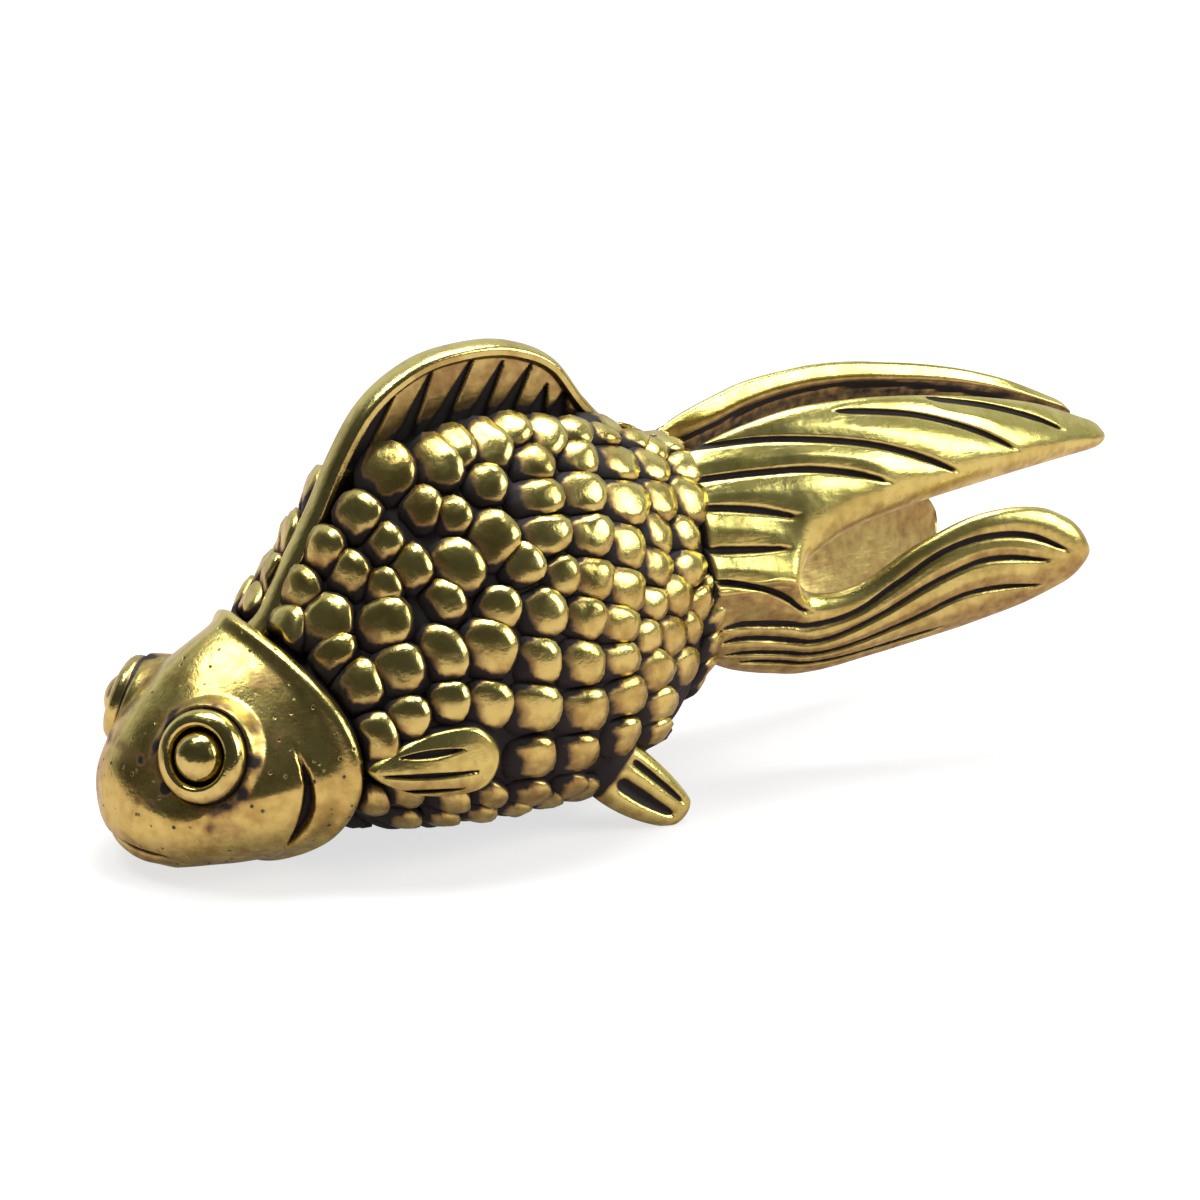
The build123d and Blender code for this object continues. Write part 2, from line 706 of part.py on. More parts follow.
with BuildPart() as head:
    add(plain_head)
    for side in (-1, 1):
        with BuildSketch(eye_plane(side).offset(-eye_seat_depth - overrun)):
            Circle(eye_ring_diameter / 2 + socket_margin)
        extrude(amount=eye_seat_depth + overrun + socket_rise, taper=socket_taper)
    add(gill_grooves, mode=Mode.SUBTRACT)
    add(mouth_groove, mode=Mode.SUBTRACT)
    extrude(behind_rim, amount=head_width, both=True, mode=Mode.SUBTRACT)
    for side in (-1, 1):
        with BuildSketch(eye_plane(side).offset(-eye_seat_depth)):
            Circle(eye_ring_diameter / 2 + fit_gap)
        extrude(amount=eye_seat_depth + overrun, mode=Mode.SUBTRACT)
        with BuildSketch(eye_plane(side).offset(-eye_seat_depth - pupil_stem_depth)):
            Circle(pupil_diameter / 2 + fit_gap)
        extrude(amount=pupil_stem_depth + overrun, mode=Mode.SUBTRACT)
    with BuildSketch(Plane.YZ.offset(neck_x + rim_bulge - spigot_length - fit_gap)):
        with Locations((0, spigot_height)):
            Circle(spigot_diameter / 2 + fit_gap)
    extrude(amount=spigot_length + overrun, mode=Mode.SUBTRACT)
    split(bisect_by=Plane.XY, keep=Keep.TOP)

fin_side = fin_outline()
with BuildPart() as dorsal_fin:
    extrude(fin_side, amount=fin_thickness / 2, both=True)
    for side in (-1, 1):
        panel_y = side * (fin_thickness / 2 - fin_recess)
        extrude(fin_panel(panel_y), amount=-side * (fin_recess + overrun), mode=Mode.SUBTRACT)
        ray_y = panel_y - side * ray_depth
        extrude(fin_rays(ray_y), amount=-side * (ray_depth + overrun), mode=Mode.SUBTRACT)
    extrude(front_of_rim, amount=fin_thickness, both=True, mode=Mode.SUBTRACT)

paddle_plane = body_plane(paddle_at_share, paddle_turn)
with BuildPart() as left_paddle:
    extrude(paddle_outline(), amount=paddle_seat + paddle_proud)
    paddle_axis = Axis(paddle_plane.origin, paddle_plane.z_dir)
    fillet(left_paddle.faces().sort_by(paddle_axis)[-1].edges(), paddle_round)
    extrude(paddle_grooves(), amount=overrun, mode=Mode.SUBTRACT)

with BuildPart() as left_foot:
    add(foot_blank())
    add(foot_grooves(), mode=Mode.SUBTRACT)
    split(bisect_by=Plane.XY, keep=Keep.TOP)

pieces = {
    "body": body.part,
    "head": head.part,
    "dorsal_fin": dorsal_fin.part,
    "tail_left": tail_half(-1, 0),
    "tail_right": tail_half(1, right_lobe_droop),
    "pectoral_fin_left": left_paddle.part,
    "pectoral_fin_right": mirror(left_paddle.part, about=Plane.XZ),
    "pelvic_fin_left": left_foot.part,
    "pelvic_fin_right": mirror(left_foot.part, about=Plane.XZ),
}

for side, flank in ((-1, "left"), (1, "right")):
    seat = eye_plane(side).offset(-eye_seat_depth)
    eye_axis = Axis(seat.origin, seat.z_dir)
    with BuildPart() as eye_ring:
        with BuildSketch(seat):
            Circle(eye_ring_diameter / 2)
            Circle(eye_ring_bore / 2, mode=Mode.SUBTRACT)
        extrude(amount=eye_seat_depth + eye_ring_height)
        crown = eye_ring.faces().filter_by(GeomType.PLANE).sort_by(eye_axis)[-1]
        fillet(crown.edges(), eye_ring_round)
    with BuildPart() as pupil:
        with BuildSketch(seat.offset(-pupil_stem_depth)):
            Circle(pupil_diameter / 2)
        extrude(amount=pupil_stem_depth + eye_seat_depth + pupil_height)
        crown = pupil.faces().filter_by(GeomType.PLANE).sort_by(eye_axis)[-1]
        fillet(crown.edges(), pupil_round)
    pieces["eye_ring_" + flank] = eye_ring.part
    pieces["pupil_" + flank] = pupil.part

for name, piece in pieces.items():
    piece.label = name
    export_step(piece, f"parts/{name}.step")
    print(name, round(piece.volume, 2), piece.is_valid, len(piece.solids()))
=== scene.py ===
import random
from functools import cache, partial
from math import acos, atan2, copysign, cos, exp, hypot, pi, radians, sin, sqrt, tau

import bmesh
import bpy
from mathutils import Matrix, Vector, noise


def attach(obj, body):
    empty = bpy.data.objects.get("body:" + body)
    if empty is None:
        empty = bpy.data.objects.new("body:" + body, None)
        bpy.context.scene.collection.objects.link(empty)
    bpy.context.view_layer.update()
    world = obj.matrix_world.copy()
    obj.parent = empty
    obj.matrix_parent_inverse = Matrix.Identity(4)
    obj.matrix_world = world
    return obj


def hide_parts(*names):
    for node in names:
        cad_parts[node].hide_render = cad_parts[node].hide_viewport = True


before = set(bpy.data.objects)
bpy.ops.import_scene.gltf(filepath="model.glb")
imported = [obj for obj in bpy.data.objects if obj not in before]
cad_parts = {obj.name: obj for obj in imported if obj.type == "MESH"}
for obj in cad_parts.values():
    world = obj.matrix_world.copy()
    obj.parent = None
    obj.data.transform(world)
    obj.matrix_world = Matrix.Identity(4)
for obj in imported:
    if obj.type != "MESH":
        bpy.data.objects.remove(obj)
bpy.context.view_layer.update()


# Trunk: the solid brass core of the fish, one casting with its scales. It is darkened all over in a
# bath and only the crowns of the scales are polished bright again, so this skin stays nearly black.
# It plugs into the back of the head and carries every fin.
mm = 0.001
snout_x = -23.9 * mm
neck_x = -17.8 * mm
body_length = 21.2 * mm
body_width = 15.9 * mm
body_height = 17.5 * mm
rim_bulge = 2.4 * mm
rim_height = 10.0 * mm
rim_groove = 0.5 * mm
rim_groove_width = 0.8 * mm
fin_groove = 0.75 * mm
fin_groove_width = 1.5 * mm
fin_groove_run_out = 3.0 * mm
fin_groove_heights = (9.0 * mm, 14.0 * mm)
fin_half_thickness = 0.72 * mm
fin_rear_x = 0.6 * mm
tail_seat = 0.9 * mm
tail_seat_shares = (0.93, 0.975)
neck_seat = 0.7 * mm
neck_seat_share = 0.05
end_cap_share = 0.02
trunk_lump = 0.06 * mm
trunk_lump_size = 0.6 * mm
# Painted shade: patina added on faces that look down, from the first to the second slope of their normals
painted_under_shade = 0.26
under_shade_slopes = (-0.15, 0.45)
frame_step = 0.004
weld = 0.001 * mm
end_margin = 0.001

# Share of the length, then shares of half width, of the height of back and belly, and where
# between the two the trunk is widest
body_shares = (
    (0.000, 0.65, 0.515, 0.080, 0.50), (0.061, 0.75, 0.560, 0.085, 0.48), (0.132, 0.85, 0.700, 0.070, 0.42),
    (0.198, 0.91, 0.850, 0.058, 0.38), (0.274, 0.96, 0.935, 0.046, 0.37), (0.415, 1.00, 1.000, 0.036, 0.37),
    (0.580, 0.96, 1.000, 0.034, 0.38), (0.698, 0.86, 0.965, 0.046, 0.40), (0.792, 0.74, 0.885, 0.075, 0.42),
    (0.863, 0.62, 0.845, 0.118, 0.45), (0.915, 0.53, 0.825, 0.180, 0.48), (0.962, 0.465, 0.805, 0.270, 0.50),
    (1.000, 0.43, 0.790, 0.335, 0.50),
)
back_powers = ((0.0, 1.9), (0.07, 1.6), (0.15, 1.3), (0.25, 1.4), (0.42, 1.8), (0.6, 2.0), (1.0, 2.0))
belly_powers = ((0.0, 2.2), (0.2, 2.5), (0.6, 2.5), (0.8, 2.3), (1.0, 2.0))


@cache
def follow(rows, share, column=1):
    """One column of a table at a share of the length, on a smooth curve through its rows."""
    at = [row[0] for row in rows]
    value = [row[column] for row in rows]
    rise = [(b - a) / (q - p) for a, b, p, q in zip(value, value[1:], at, at[1:])]
    slope = [rise[0]] + [(a + b) / 2 for a, b in zip(rise, rise[1:])] + [rise[-1]]
    i = 0
    while i < len(rise) - 1 and at[i + 1] < share:
        i += 1
    step = at[i + 1] - at[i]
    t = (share - at[i]) / step
    start = value[i] * (1 + 2 * t) * (1 - t) ** 2 + step * slope[i] * t * (1 - t) ** 2
    end = value[i + 1] * t * t * (3 - 2 * t) - step * slope[i + 1] * t * t * (1 - t)
    return start + end


def eased(value, low, high):
    """A smooth step from 0 at low to 1 at high."""
    t = min(1.0, max(0.0, (value - low) / (high - low)))
    return t * t * (3 - 2 * t)


def bell(off, width):
    """A soft hump: 1 in its middle, and nearly gone two widths away."""
    return exp(-(off / width) ** 2)


def at_end(along):
    """Whether a point belongs to one of the two closed ends of a rolled piece."""
    return along < end_margin or along > 1 - end_margin


def section_point(turn, half_width, top, low, middle_share, back_power, belly_power):
    """Point of a trunk or head section: turn in degrees from the back, down the left flank."""
    middle = low + (top - low) * middle_share
    across, upward = sin(radians(turn)), cos(radians(turn))
    power = back_power if upward > 0 else belly_power
    reach = top - middle if upward > 0 else middle - low
    side = -half_width * copysign(abs(across) ** (2 / power), across)
    return side, middle + reach * copysign(abs(upward) ** (2 / power), upward)


def trunk_point(share, turn):
    """Point on the bare trunk."""
    side, height = section_point(
        turn,
        body_width / 2 * follow(body_shares, share, 1),
        body_height * follow(body_shares, share, 2),
        body_height * follow(body_shares, share, 3),
        follow(body_shares, share, 4),
        follow(back_powers, share),
        follow(belly_powers, share),
    )
    return Vector((neck_x + body_length * share, side, height))


def trunk_frame(share, turn):
    """Point on the trunk, the way to the tail, the way up the flank and the way outwards."""
    before, after = trunk_point(share - frame_step, turn), trunk_point(share + frame_step, turn)
    to_tail = (after - before).normalized()
    around = trunk_point(share, turn + 1) - trunk_point(share, turn - 1)
    outward = around.cross(to_tail).normalized()
    return trunk_point(share, turn), to_tail, outward.cross(to_tail), outward


def rim_x(height):
    """Where the curved rim of the head lies at a height."""
    radius = ((rim_height / 2) ** 2 + rim_bulge ** 2) / (2 * rim_bulge)
    off = min(abs(height - rim_height / 2), rim_height / 2)
    return neck_x + rim_bulge - radius + sqrt(radius ** 2 - off ** 2)


def rolled(name, rows, turns, place):
    """A closed piece: a sheet of rows along it, rolled up and laid out by place(along, around), which
    gives each point and how deep the patina is there."""
    bm = bmesh.new()
    bmesh.ops.create_grid(bm, x_segments=rows, y_segments=turns, size=0.5)
    patina = bm.verts.layers.float.new("patina")
    for vertex in bm.verts:
        point, depth = place(vertex.co.x + 0.5, vertex.co.y + 0.5)
        vertex.co, vertex[patina] = point, depth
    bmesh.ops.remove_doubles(bm, verts=bm.verts, dist=weld)
    return finished(name, bm)


def finished(name, bm):
    """The object of a bmesh whose shape is done, smooth-shaded, facing outwards and with painted shade below,
    as extra patina on faces that look down.
    """
    bmesh.ops.recalc_face_normals(bm, faces=bm.faces)
    bm.normal_update()
    patina = bm.verts.layers.float.get("patina")
    if patina:
        for vertex in bm.verts:
            # painted shade: faces that look down get deeper patina, as if they were in shade
            vertex[patina] += painted_under_shade * eased(-vertex.normal.z, *under_shade_slopes)
    for face in bm.faces:
        face.smooth = True
    mesh = bpy.data.meshes.new(name)
    bm.to_mesh(mesh)
    bm.free()
    piece = bpy.data.objects.new(name, mesh)
    bpy.context.scene.collection.objects.link(piece)
    return piece


def trunk_place(along, around):
    share = min(1.0, max(0.0, (along - end_cap_share) / (1 - 2 * end_cap_share)))
    point, _, _, outward = trunk_frame(share, 360 * around)
    if at_end(along):
        return Vector((point.x, 0, body_height / 2)), 1.0
    groove = 0.0
    if point.z < rim_height:
        groove += rim_groove * bell(point.x - rim_x(point.z), rim_groove_width)
    if point.z > body_height / 2:
        beside_fin = bell(point.y, fin_groove_width)
        beside_fin *= 1 - eased(point.x, fin_rear_x - fin_groove_run_out, fin_rear_x)
        groove += fin_groove * beside_fin * eased(point.z, *fin_groove_heights)
    groove += tail_seat * eased(share, *tail_seat_shares) + neck_seat * (1 - eased(share, 0, neck_seat_share))
    lump = trunk_lump * noise.noise(point / trunk_lump_size)
    return point - outward * (groove + lump), 1.0


trunk = rolled("trunk", 150, 140, trunk_place)


class Signal:
    """The output of a shader node. Sums and products of such outputs add the Math nodes."""

    def __init__(self, finish, socket):
        self.finish = finish
        self.socket = socket

    def math(self, operation, first, second):
        return self.finish.node("ShaderNodeMath", {"operation": operation}, {0: first, 1: second})

    def __add__(self, other):
        return self.math("ADD", self, other)

    def __radd__(self, other):
        return self.math("ADD", other, self)

    def __sub__(self, other):
        return self.math("SUBTRACT", self, other)

    def __rsub__(self, other):
        return self.math("SUBTRACT", other, self)

    def __mul__(self, other):
        return self.math("MULTIPLY", self, other)

    def __rmul__(self, other):
        return self.math("MULTIPLY", other, self)


class Finish:
    """The nodes of a material, or of the world, under construction."""

    def __init__(self, owner):
        self.owner = owner
        owner.use_nodes = True
        self.tree = owner.node_tree
        self.tree.nodes.clear()

    def node(self, kind, settings, sockets, output=0):
        made = self.tree.nodes.new(kind)
        for setting, value in settings.items():
            setattr(made, setting, value)
        for socket, value in sockets.items():
            if isinstance(value, Signal):
                self.tree.links.new(value.socket, made.inputs[socket])
            else:
                made.inputs[socket].default_value = value
        return Signal(self, made.outputs[output]) if made.outputs else None

    def blend(self, first, second, share):
        """Colour between two colours."""
        return self.node("ShaderNodeMix", {"data_type": "RGBA"}, {0: share, 6: first, 7: second}, 2)

    def step(self, value, low, high):
        """A smooth step from 0 at low to 1 at high."""
        settings = {"interpolation_type": "SMOOTHSTEP"}
        return self.node("ShaderNodeMapRange", settings, {"Value": value, "From Min": low, "From Max": high})

    def clouds(self, size, detail=2.0, stretch=(1.0, 1.0, 1.0)):
        """Soft random patches of about this size, drawn out along an axis by a stretch under 1."""
        place = self.node("ShaderNodeTexCoord", {}, {}, "Object")
        place = self.node("ShaderNodeMapping", {}, {"Vector": place, "Scale": stretch})
        return self.node("ShaderNodeTexNoise", {}, {"Vector": place, "Scale": 1 / size, "Detail": detail})


# Sizes of what shows in the metal, and the two colours that the bath and the years leave on it
cloud_size = 2.2 * mm
grain_size = 0.45 * mm
mark_size = 0.16 * mm
pit_pitch = 0.55 * mm
relief_depth = 0.045 * mm
tarnish_brown = (0.34, 0.20, 0.085, 1)
patina_black = (0.014, 0.010, 0.009, 1)
# Where each of these begins and where it is full: patina and tarnish over the depth of the patina, dull
# metal over the clouds, a pit over the distance from its middle, and pitted ground over cloud and grain
patina_reach = (0.36, 0.68)
tarnish_reach = (0.02, 0.50)
dull_reach = (0.35, 0.75)
pit_reach = (0.10, 0.20)
pitted_reach = (0.46, 0.54)


def antique_brass(name, bright, dull, gloss, grime=0.0, pits=0.0, drawn=(1.0, 1.0, 1.0)):
    """Cast brass, darkened in a bath and polished back: bright where it is proud, nearly black where the
    patina attribute is deep, with tarnish clouds, fine polishing marks and casting pits."""
    finish = Finish(bpy.data.materials.new(name))
    depth = finish.node("ShaderNodeAttribute", {"attribute_name": "patina"}, {}, "Fac")
    patches = finish.clouds(cloud_size)
    grain = finish.clouds(grain_size, 4.0)
    marks = finish.clouds(mark_size, 3.0, drawn)
    edge = depth + (patches - 0.5) * 0.25 + (grain - 0.5) * 0.45 + grime
    dark = finish.step(edge, *patina_reach)
    stain = finish.step(edge, *tarnish_reach)
    if pits:
        place = finish.node("ShaderNodeTexCoord", {}, {}, "Object")
        spots = finish.node("ShaderNodeTexVoronoi", {}, {"Vector": place, "Scale": 1 / pit_pitch})
        few = finish.step(grain * 0.6 + patches * 0.4, *pitted_reach)
        pit = (1 - finish.step(spots, *pit_reach)) * few * pits
        dark = finish.node("ShaderNodeMath", {"operation": "MAXIMUM"}, {0: dark, 1: pit})
    metal = finish.blend(bright, dull, finish.step(patches + (grain - 0.5) * 0.5, *dull_reach))
    metal = finish.blend(metal, tarnish_brown, stain * 0.85)
    colour = finish.blend(metal, patina_black, dark)
    rough = gloss + patches * 0.06 + stain * 0.14 + dark * 0.25
    height = marks * 0.35 + grain * 0.65 - dark * 0.8
    bump = finish.node("ShaderNodeBump", {}, {"Strength": 0.6, "Distance": relief_depth, "Height": height})
    shader = finish.node("ShaderNodeBsdfPrincipled", {}, {
        "Base Color": colour, "Metallic": 1 - dark * 0.75, "Roughness": rough, "Normal": bump})
    finish.node("ShaderNodeOutputMaterial", {}, {"Surface": shader})
    return finish.owner


# Scales: low nails cast in one with the trunk. Each starts under the one before it and stands proud at
# its rounded rear edge. Their crowns are polished, and patina stays between them. The left flank has them
# where the photograph shows them, and the right flank is its near twin.
scale_height = 0.46 * mm
scale_tilt = 0.34 * mm
scale_root = 0.45 * mm
length_growth = 1.42
width_growth = 1.62
scale_side_gap = 0.02 * mm
scale_overlap = 0.85 * mm
smallest_half = 1.04 * mm
scale_spokes = 18
scale_lifts = (-0.03, 0.05)
scale_rim_gap = 0.2 * mm
dent_depth = 0.08 * mm
dent_size = 0.7 * mm
# Heights over the trunk between which a scale's patina gives way to polish
polish_heights = (0.14 * mm, 0.42 * mm)
# The back fin's foot stands on the trunk above this share of its height, and scales stop beside it
fin_foot_share = 0.6
neighbour_range = 3.5 * mm
# The higher this power, the straighter the sides where two scales crowd each other
crowding = 9
# From the crown of a scale to its root: share of its reach, and share of its height
nail_rings = ((0.0, 1.0), (0.55, 0.88), (0.90, 0.50), (1.0, -0.25), (0.0, -1.0))

# Share of the trunk's length, turn down the flank, half length and half width in millimetres
flank_scales = (
    (0.065, 22.7, 0.88, 0.85), (0.105, 18.7, 0.82, 0.92), (0.105, 47.3, 0.97, 0.50),
    (0.115, 37.3, 1.04, 1.01), (0.130, 60.0, 0.79, 0.89), (0.130, 114.7, 0.50, 0.65),
    (0.135, 81.3, 0.52, 1.04), (0.155, 22.7, 0.88, 0.86), (0.170, 34.7, 0.82, 1.00),
    (0.185, 111.3, 0.71, 0.78), (0.195, 52.7, 1.04, 0.81), (0.195, 64.0, 1.01, 0.82),
    (0.195, 78.0, 0.74, 0.67), (0.210, 26.7, 0.88, 0.90), (0.210, 45.3, 0.50, 0.54),
    (0.230, 37.3, 0.57, 0.94), (0.260, 46.0, 0.59, 1.05), (0.270, 78.7, 0.73, 0.54),
    (0.275, 22.0, 1.05, 1.05), (0.275, 66.7, 0.78, 1.00), (0.280, 120.7, 0.54, 0.50),
    (0.295, 56.0, 0.63, 0.91), (0.305, 35.3, 0.54, 0.85), (0.330, 51.3, 0.92, 1.06),
    (0.340, 84.7, 0.90, 0.77), (0.345, 40.7, 0.51, 0.72), (0.355, 70.7, 0.98, 1.05),
    (0.355, 120.7, 0.50, 0.50), (0.360, 26.0, 0.92, 1.05), (0.385, 64.0, 0.78, 0.68),
    (0.395, 24.7, 0.55, 0.93), (0.405, 50.0, 0.89, 1.05), (0.420, 36.0, 0.64, 0.76),
    (0.430, 90.0, 1.06, 0.93), (0.430, 104.7, 0.90, 0.95), (0.440, 123.3, 0.86, 0.71),
    (0.445, 57.3, 0.80, 0.77), (0.445, 78.7, 0.86, 0.96), (0.455, 26.0, 0.84, 1.05),
    (0.465, 68.7, 0.92, 0.86), (0.500, 52.0, 1.04, 0.75), (0.505, 43.3, 1.09, 0.67),
    (0.510, 22.7, 0.68, 0.77), (0.515, 62.0, 0.62, 0.71), (0.520, 34.0, 0.78, 0.82),
    (0.530, 107.3, 0.88, 0.86), (0.535, 82.7, 1.00, 0.90), (0.535, 92.7, 1.08, 0.94),
    (0.535, 126.0, 0.77, 0.63), (0.555, 72.7, 0.92, 0.73), (0.575, 26.0, 0.54, 0.88),
    (0.580, 64.7, 0.93, 0.73), (0.595, 54.7, 0.97, 0.77), (0.600, 44.0, 0.97, 0.79),
    (0.620, 33.3, 0.75, 0.81), (0.620, 84.7, 1.11, 0.74), (0.625, 76.7, 1.00, 0.81),
    (0.635, 25.3, 0.60, 0.61), (0.635, 94.0, 1.12, 0.75), (0.640, 106.7, 0.78, 0.82),
    (0.650, 69.3, 0.94, 0.89), (0.670, 59.3, 0.90, 0.93), (0.695, 46.7, 1.10, 0.90),
    (0.700, 82.0, 0.73, 0.63), (0.705, 34.0, 1.10, 0.81), (0.710, 23.3, 0.51, 0.50),
    (0.720, 74.0, 0.74, 0.60), (0.720, 90.7, 1.03, 0.73), (0.740, 64.0, 0.95, 0.76),
    (0.740, 104.0, 0.94, 0.59), (0.745, 115.3, 0.50, 0.50), (0.765, 54.7, 0.70, 0.80),
    (0.765, 83.3, 1.03, 0.69), (0.790, 73.3, 0.96, 0.63), (0.800, 42.0, 0.78, 0.75),
    (0.810, 96.7, 0.98, 0.68), (0.815, 27.3, 0.81, 0.78), (0.830, 86.0, 0.50, 0.61),
    (0.840, 67.3, 0.97, 0.52), (0.850, 56.0, 0.58, 0.59), (0.855, 15.3, 0.50, 0.50),
    (0.865, 80.7, 0.50, 0.56), (0.885, 42.7, 0.87, 0.87), (0.905, 26.0, 0.73, 0.82),
    (0.910, 86.7, 0.50, 0.82),
)
# Rows of the belly, and one behind the back fin: turn, first share, last share and pitch as a share of
# the length
belly_rows = (
    (9, 0.75, 0.92, 0.075), (133, 0.20, 0.60, 0.075), (148, 0.12, 0.86, 0.078), (161, 0.16, 0.84, 0.078),
    (173, 0.14, 0.82, 0.078),
)
belly_halves = (0.80, 0.68)
belly_sunk = 0.30 * mm
belly_sunk_from_turn = 140
tail_root_turns = (100, 116, 133, 150, 168)
tail_root_share = 0.93
tail_root_halves = (0.60, 0.60)
# How far a scale of the right flank may lie off its twin: share of the length, and turn
twin_shift = 0.006
twin_turn = 1.5


class Seat:
    """Where a scale sits on the trunk, and its half length and half width."""

    def __init__(self, share, turn, half_length, half_width, sunk=0.0):
        self.point, self.to_tail, self.up, self.outward = trunk_frame(share, turn)
        self.half_length = max(smallest_half, half_length * mm * length_growth)
        self.half_width = max(smallest_half, half_width * mm * width_growth)
        self.size = (half_length + half_width) / 2
        self.sunk = sunk

    def rival(self, other):
        """The way towards another scale, and how far this one may reach that way."""
        off = other.point - self.point
        x, y = off.dot(self.to_tail), off.dot(self.up)
        apart = hypot(x, y)
        gap = (scale_side_gap * abs(y) - scale_overlap * abs(x)) / apart
        return atan2(y, x), apart * self.size / (self.size + other.size) - gap / 2

    def reach(self, angle, rivals):
        """How far the scale goes at an angle: an oval, crowded in softly by its neighbours."""
        crowd = hypot(cos(angle) / self.half_length, sin(angle) / self.half_width) ** crowding
        for way, room in rivals:
            crowd += (max(0.0, cos(angle - way)) / room) ** crowding
        return crowd ** (-1 / crowding)


def add_scale(bm, patina, seat, rivals, side, dice):
    """One scale: a ball shaped into a tilted nail, its root sunk in the trunk."""
    bands = len(nail_rings) - 1
    lift = dice.uniform(*scale_lifts) * mm - seat.sunk
    ball = bmesh.ops.create_uvsphere(bm, u_segments=scale_spokes, v_segments=bands, radius=1.0)
    for vertex in ball["verts"]:
        x, y, z = vertex.co
        out, crown = nail_rings[round(acos(max(-1.0, min(1.0, z))) / pi * bands)]
        angle = atan2(y, x)
        reach = seat.reach(angle, rivals) * out
        height = scale_height * crown if crown > 0 else scale_root * crown
        height += scale_tilt * out * cos(angle) + lift
        spot = seat.point + (seat.to_tail * cos(angle) + seat.up * sin(angle)) * reach + seat.outward * height
        if spot.z < rim_height:
            spot.x = max(spot.x, rim_x(spot.z) + scale_rim_gap)
        if spot.z > fin_foot_share * body_height and spot.x < fin_rear_x:
            spot.y = side * max(side * spot.y, fin_half_thickness)
        vertex.co = spot + noise.noise_vector(spot / dent_size) * dent_depth
        vertex[patina] = 1 - eased(height, *polish_heights)


def scale_coat(name, side, seed):
    """The scales of one flank, the left one for side -1."""
    dice = random.Random(seed)
    # Blender's noise vectors start from the clock unless they get a seed
    noise.seed_set(seed)
    bm = bmesh.new()
    patina = bm.verts.layers.float.new("patina")
    places = list(flank_scales)
    for turn, first, last, pitch in belly_rows:
        sunk = belly_sunk if turn > belly_sunk_from_turn else 0.0
        count = int((last - first) / pitch) + 1
        places += [(first + pitch * i, turn, *belly_halves, sunk) for i in range(count)]
    places += [(tail_root_share, turn, *tail_root_halves) for turn in tail_root_turns]
    if side > 0:
        places = [
            (share + dice.uniform(-twin_shift, twin_shift),
             360 - turn + dice.uniform(-twin_turn, twin_turn),
             *rest)
            for share, turn, *rest in places]
    seats = [Seat(*place) for place in places]
    for seat in seats:
        near = [other for other in seats if 0 < (other.point - seat.point).length < neighbour_range]
        add_scale(bm, patina, seat, [seat.rival(other) for other in near], side, dice)
    return finished(name, bm)


scale_brass = antique_brass("scale_brass", (0.80, 0.70, 0.23, 1), (0.56, 0.43, 0.12, 1), 0.22)
dark_trunk = antique_brass("dark_trunk_brass", (0.55, 0.42, 0.14, 1), (0.36, 0.26, 0.09, 1), 0.34, grime=0.1)
trunk.data.materials.append(dark_trunk)
scales_left = scale_coat("scales_left", -1, 3)
scales_right = scale_coat("scales_right", 1, 8)
for piece in (scales_left, scales_right):
    piece.data.materials.append(scale_brass)
for piece in (trunk, scales_left, scales_right):
    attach(piece, "root")
    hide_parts("body")


# Head: a smooth cap cast hollow at the back, where the trunk's spigot goes in, its curved rim standing
# over the front of the trunk. Hand-polished brass with dark patina in the gill slits, in the mouth line
# and round the eyes, and with casting pits low on the cheeks.
head_length = 6.1 * mm
head_width = 13.8 * mm
head_height = 10.8 * mm
head_shares = (
    (0.000, 0.04, 0.310, 0.210, 0.50), (0.033, 0.19, 0.390, 0.155, 0.50), (0.115, 0.36, 0.480, 0.085, 0.50),
    (0.246, 0.52, 0.590, 0.030, 0.50), (0.443, 0.68, 0.710, -0.010, 0.48), (0.672, 0.81, 0.820, -0.010, 0.46),
    (0.967, 0.91, 0.915, 0.000, 0.45), (1.230, 0.97, 0.970, 0.020, 0.45), (1.450, 1.00, 1.000, 0.030, 0.45),
)
head_back_powers = (
    (0.0, 1.9), (0.12, 1.75), (0.3, 1.58), (0.5, 1.5), (0.7, 1.38), (1.0, 1.45), (1.2, 1.65), (1.45, 1.9),
)
head_belly_power = 2.2
snout_tip = Vector((snout_x, 0, 0.26 * head_height))
neck_inside = Vector((neck_x + 0.5 * mm, 0, 0.45 * head_height))
# Along the sheet that the head is rolled from, the skin ends here, then the rim's round edge, and the
# rest closes inside the neck. The rows of the skin crowd towards the snout by this power.
skin_end, rim_end = 0.89, 0.95
snout_crowding = 1.35
first_row = 0.004
head_lump = 0.035 * mm
head_lump_size = 1.6 * mm
rim_round = 0.35 * mm
rim_bead = 0.20 * mm
rim_bead_before = 0.42 * mm
rim_bead_width = 0.33 * mm
rim_patina = (0.45, 0.95)
gill_depth = 0.5 * mm
gill_narrowest = 0.01 * mm
gill_walls = (0.35, 1.25)
gill_full_width = (0.02 * mm, 0.16 * mm)
gill_swelling = 0.10 * mm
gill_swelling_crest = 0.5 * mm
gill_swelling_end = 1.6 * mm
mouth_depth = 0.22 * mm
mouth_height = 1.34 * mm
mouth_fall = 0.19
mouth_width = 0.11 * mm
mouth_fade = (1.2 * mm, 1.9 * mm)
lip_swelling = 0.08 * mm
lip_drop = 0.45 * mm
lip_width = 0.25 * mm
groove_patina = 1.1
eye_height = 5.6 * mm
eye_spacing = 7.6 * mm
eye_behind_snout = 2.85 * mm
eye_aim = (-0.74, 0.60, 0.30)
